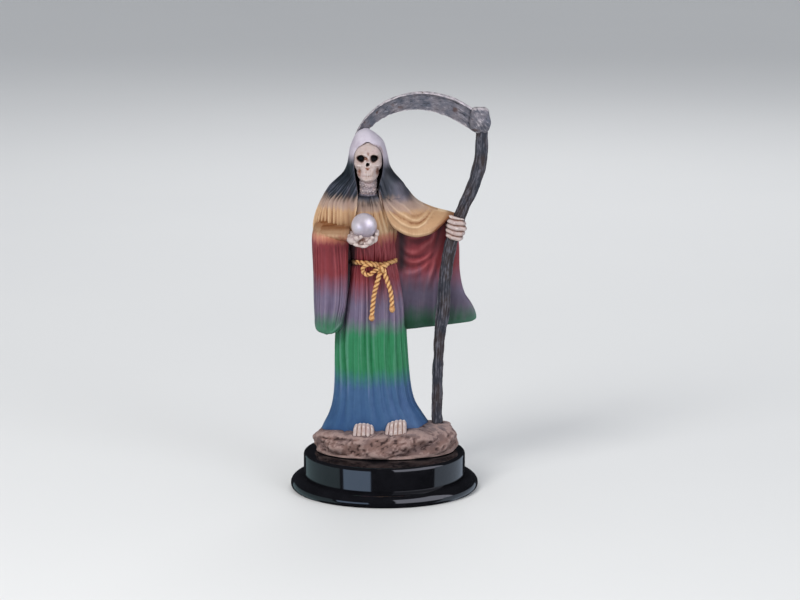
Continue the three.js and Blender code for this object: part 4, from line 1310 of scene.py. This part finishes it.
def stone():
    f = Finish("painted_rock")
    grime, fine = f.noise(0.7, detail=6, roughness=0.66), f.noise(2.4, (1, 1, 1.3), 5, 0.65)
    height = f.add(f.stored("relief"), f.centred(grime, 1.5), f.centred(fine))
    warm = f.mix(f.span(f.noise(0.16, (1, 1, 1.5)), 0.4, 0.6), srgb(116, 95, 92), srgb(130, 103, 96))
    level = f.math("SUBTRACT", 1, f.span(f.stored("band"), 5.4, 7.4, 0, 0.7))
    colour = f.coats(
        f.mix(level, srgb(112, 104, 108), warm),
        (f.span(height, 0, -1.1), (64, 48, 46)),
        (f.span(height, 0.2, 1.3), (164, 140, 134)),
    )
    return f.finish(colour, 0.66, f.add(grime, f.times(fine, 0.6)), 0.35, specular_ior_level=0.3)


def dark_wood():
    f = Finish("painted_staff")
    streaks = f.noise(2.2, (1, 1, 0.2), 6, 0.65)
    height = f.add(f.stored("relief"), f.centred(streaks, 3.4))
    colour = f.coats(
        f.mix(f.span(f.noise(0.25, (1, 1, 0.5)), 0.42, 0.58), srgb(50, 52, 60), srgb(58, 50, 50)),
        (f.span(height, 0, -1), (22, 21, 24)),
        (f.span(height, 0.2, 1.6), (102, 101, 110)),
    )
    return f.finish(colour, 0.62, streaks, 0.3, specular_ior_level=0.25)


def iron():
    f = Finish("painted_blade")
    swept = {"X": f.stored("sweep"), "Y": f.stored("reach")}
    swept = f.node("ShaderNodeCombineXYZ", swept).outputs[0]
    scratches = f.noise(0.0022, (0.28, 1, 1), 8, 0.75, swept)
    height = f.add(f.stored("relief"), f.centred(scratches, 5))
    clouds = f.span(f.noise(0.22, detail=4, roughness=0.6), 0.35, 0.65)
    rust = f.times(f.stored("brown_stain_and_shade"), f.span(scratches, 0.3, 0.6, 0.4, 1))
    colour = f.coats(
        f.mix(clouds, srgb(94, 97, 109), srgb(134, 128, 134)),
        (f.span(height, 0.1, -1), (52, 52, 59)),
        (f.span(height, 0.25, 1.45), (214, 205, 209)),
        (f.math("MAXIMUM", f.span(f.noise(0.3), 0.69, 0.75), rust), (84, 58, 48)),
        (f.stored("dark"), (30, 32, 40)),
    )
    return f.finish(colour, 0.45, scratches, 0.2, specular_ior_level=0.45, metallic=0.2)


def black_gloss():
    f = Finish("gloss_black_plastic")
    wear = f.noise(0.15, detail=5, roughness=0.6)
    colour = f.mix(f.span(wear, 0.3, 0.7), srgb(14, 14, 17), srgb(20, 20, 24))
    normal = f.node("ShaderNodeSeparateXYZ", {0: f.node("ShaderNodeTexCoord").outputs["Normal"]})
    mirroring = f.span(normal.outputs["Z"], 0.9, 0.99, 0.7, 0.08)
    f.tree.links.new(mirroring, f.shader.inputs["Specular IOR Level"])
    return f.finish(colour, f.span(wear, 0.35, 0.75, 0.045, 0.09))


def pearl():
    f = Finish("pearl")
    cloud = f.noise(0.25, detail=4, roughness=0.55)
    colour = f.mix(f.span(cloud, 0.35, 0.65), srgb(182, 172, 185), srgb(200, 192, 200))
    roughness = f.span(cloud, 0.3, 0.7, 0.36, 0.42)
    return f.finish(colour, roughness, metallic=0.35, coat_weight=0.3, coat_roughness=0.3)


def pale_floor():
    f = Finish("pale_floor")
    colour = f.mix(f.noise(0.004, detail=4), srgb(222, 222, 222), srgb(228, 228, 227))
    return f.finish(colour, 0.85, specular_ior_level=0.2)


# The casting

figure = casting()
figure.name = figure.data.name = "painted_figure"
mesh = figure.data
keep_largest(mesh)
parts = paint_map(mesh)
finishes = [(CLOTH, cloth()), (BONE, bone()), (["rope"], gold_rope()), (["rock"], stone())]
finishes += [(["staff"], dark_wood()), (["blade", "socket"], iron())]
finish_of = {part: k for k, (owners, _) in enumerate(finishes) for part in owners}
mesh.materials.clear()
for _, material in finishes:
    mesh.materials.append(material)
mesh.polygons.foreach_set("material_index", [finish_of[PARTS[p]] for p in parts])
mesh.polygons.foreach_set("use_smooth", [True] * len(mesh.polygons))
points = read_all(mesh.vertices, "co") * UNIT + np.array([0, 0, FIGURE_BASE])
mesh.vertices.foreach_set("co", points.ravel())
mesh.set_sharp_from_angle(angle=math.radians(52))
mesh.update()


# The plinth and the ball

PLINTH_SIDES = 160
DRUM_RADIUS = 26.004e-3
DRUM_EDGE = 1.1e-3
# The foot's rim, an ellipse's arc that is measured from the drum
RIM_STARTS = 3.3e-3
RIM_REACH = 4.2e-3
RIM_MIDDLE = 1.6e-3
RIM_HALF_HEIGHT = 2.8e-3


def lathe(name, profile):
    """A closed turned solid from (radius, height) pairs that start and end on the axis. It takes any part's
    name for skin, as the materials are laid anew below."""
    radius, height = np.array(profile[1:-1]).T[..., None]
    a = ring(PLINTH_SIDES)
    made = skin("rock", xyz(radius * cos(a), radius * sin(a), height))
    made.name = made.data.name = name
    return made


def plinth():
    """Two steps: a foot with a rounded rim, and a drum with a rounded top edge."""
    _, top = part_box("plinth")
    profile = [(0, 0), (DRUM_RADIUS + RIM_STARTS, 0)]
    for turn in np.radians(np.linspace(-20, 90, 16)):
        out, up = RIM_REACH * cos(turn), RIM_HALF_HEIGHT * sin(turn)
        profile.append((DRUM_RADIUS + out, RIM_MIDDLE + up))
    for turn in np.radians(np.linspace(0, 90, 8)):
        inward, down = DRUM_EDGE * (1 - cos(turn)), DRUM_EDGE * (1 - sin(turn))
        profile.append((DRUM_RADIUS - inward, top.z - down))
    profile.append((0, top.z))
    return lathe("plinth_shell", profile)


def ball():
    low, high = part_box("crystal_ball")
    made = ball_of("cup", (low + high) / 2, [(high.z - low.z) / 2] * 3, 64, 40)
    made.name = made.data.name = "pearl_ball"
    return made


base, orb = plinth(), ball()
for piece, material in ((base, black_gloss()), (orb, pearl())):
    piece.data.materials.clear()
    piece.data.materials.append(material)
    faces = piece.data.polygons
    faces.foreach_set("material_index", [0] * len(faces))
    faces.foreach_set("use_smooth", [True] * len(faces))
    piece.data.set_sharp_from_angle(angle=math.radians(40))

for piece, node, slot in [
    (figure, "figure", "painted_resin"),
    (base, "plinth", "plinth_plastic"),
    (orb, "crystal_ball", "pearl_ball"),
]:
    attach(piece, "root")
    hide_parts(node)


# The floor, lights and camera

FLOOR_HALF = 12
corners = np.array([[-1, -1, 0], [1, -1, 0], [1, 1, 0], [-1, 1, 0]]) * FLOOR_HALF
floor = new_object("studio_floor", corners, [(0, 1, 2, 3)])
floor.data.materials.append(pale_floor())
floor.visible_glossy = False


def aim(thing, target):
    thing.rotation_mode = "QUATERNION"
    thing.rotation_quaternion = (Vector(target) - thing.location).to_track_quat("-Z", "Y")


def soft_light(name, place, size, watts, colour):
    data = bpy.data.lights.new(name, "AREA")
    data.size = size
    data.energy = watts
    data.color = colour
    lamp = bpy.data.objects.new(name, data)
    bpy.context.scene.collection.objects.link(lamp)
    lamp.location = place
    lamp.visible_glossy = False
    aim(lamp, (0, 0, 0.07))
    return lamp


soft_light("key", (-0.42, -0.62, 0.62), 0.34, 5.2, (1, 0.985, 0.96))
soft_light("fill", (0.55, -0.6, 0.42), 0.4, 1.8, (0.95, 0.97, 1))
soft_light("back", (0.1, 0.7, 0.6), 0.5, 2, (1, 1, 1))

# Two lights on the ball alone, for its soft highlights
SHEENS = [("sheen_right", (0.349, -0.253, 0.345), 0.34), ("sheen_left", (-0.393, -0.326, 0.131), 0.5)]
only_ball = bpy.data.collections.new("only_ball")
only_ball.objects.link(orb)
for name, place, watts in SHEENS:
    lamp = soft_light(name, place, 0.22, watts, (1, 1, 0.98))
    lamp.visible_glossy = True
    lamp.light_linking.receiver_collection = only_ball

DARK_ROOM = (0.02, 0.022, 0.027)
PALE_AIR = (0.5, 0.52, 0.55)
# Panels that the gloss mirrors: from and to in azimuth, from the camera's side, and in elevation, and tone
PANELS = [
    (-60, -19, -22, 4, (1.0, 1.35, 1.9)),
    (-150, -66, -45, 8, (0.26, 0.37, 0.4)),
    (14, 92, -5, 56, (2.0, 2.05, 2.4)),
    (76, 150, -45, 6, (0.56, 0.66, 0.8)),
]


def studio_world():
    """An even pale light on everything, and panels in a dark room for what gloss mirrors."""
    world = bpy.data.worlds.new("studio")
    world.use_nodes = True
    tree = world.node_tree

    def node(kind, inputs=(), **settings):
        return new_node(tree, kind, inputs, **settings).outputs

    def within(value, low, high, soft):
        """1 between two angles in degrees, with soft ends."""
        low, high = math.radians(low), math.radians(high)
        ramps = [{0: value, 1: low - soft, 2: low + soft}, {0: value, 1: high + soft, 2: high - soft}]
        rise, fall = (node("ShaderNodeMapRange", ramp, interpolation_type="SMOOTHSTEP")[0] for ramp in ramps)
        return node("ShaderNodeMath", {0: rise, 1: fall}, operation="MULTIPLY")[0]

    way = node("ShaderNodeSeparateXYZ", {0: node("ShaderNodeTexCoord")["Generated"]})
    front = node("ShaderNodeMath", {0: way["Y"], 1: -1}, operation="MULTIPLY")[0]
    turn = node("ShaderNodeMath", {0: way["X"], 1: front}, operation="ARCTAN2")[0]
    rise = node("ShaderNodeMath", {0: way["Z"]}, operation="ARCSINE")[0]
    seen = (*DARK_ROOM, 1)
    for left, right, low, high, tone in PANELS:
        inputs = {0: within(turn, left, right, 0.02), 1: within(rise, low, high, 0.06)}
        share = node("ShaderNodeMath", inputs, operation="MULTIPLY")[0]
        seen = node("ShaderNodeMix", {0: share, 6: seen, 7: (*tone, 1)}, data_type="RGBA")[2]
    glossy = node("ShaderNodeLightPath")["Is Glossy Ray"]
    seen = node("ShaderNodeMix", {0: glossy, 6: (*PALE_AIR, 1), 7: seen}, data_type="RGBA")[2]
    tree.links.new(seen, tree.nodes["Background"].inputs["Color"])
    return world


bpy.context.scene.world = studio_world()

# The camera is the one that was fitted to the plinth's outlines in the photo
LENS_MM = 157.561
CAMERA = (0.0050439, -1.1, 0.27426)
CAMERA_TARGET = (0.0050439, 0, 0.0612558)
lens = bpy.data.cameras.new("camera")
lens.lens = LENS_MM
lens.sensor_width = 36
camera = bpy.data.objects.new("camera", lens)
bpy.context.scene.collection.objects.link(camera)
camera.location = CAMERA
aim(camera, CAMERA_TARGET)
bpy.context.scene.camera = camera
bpy.context.scene.view_settings.view_transform = "Standard"
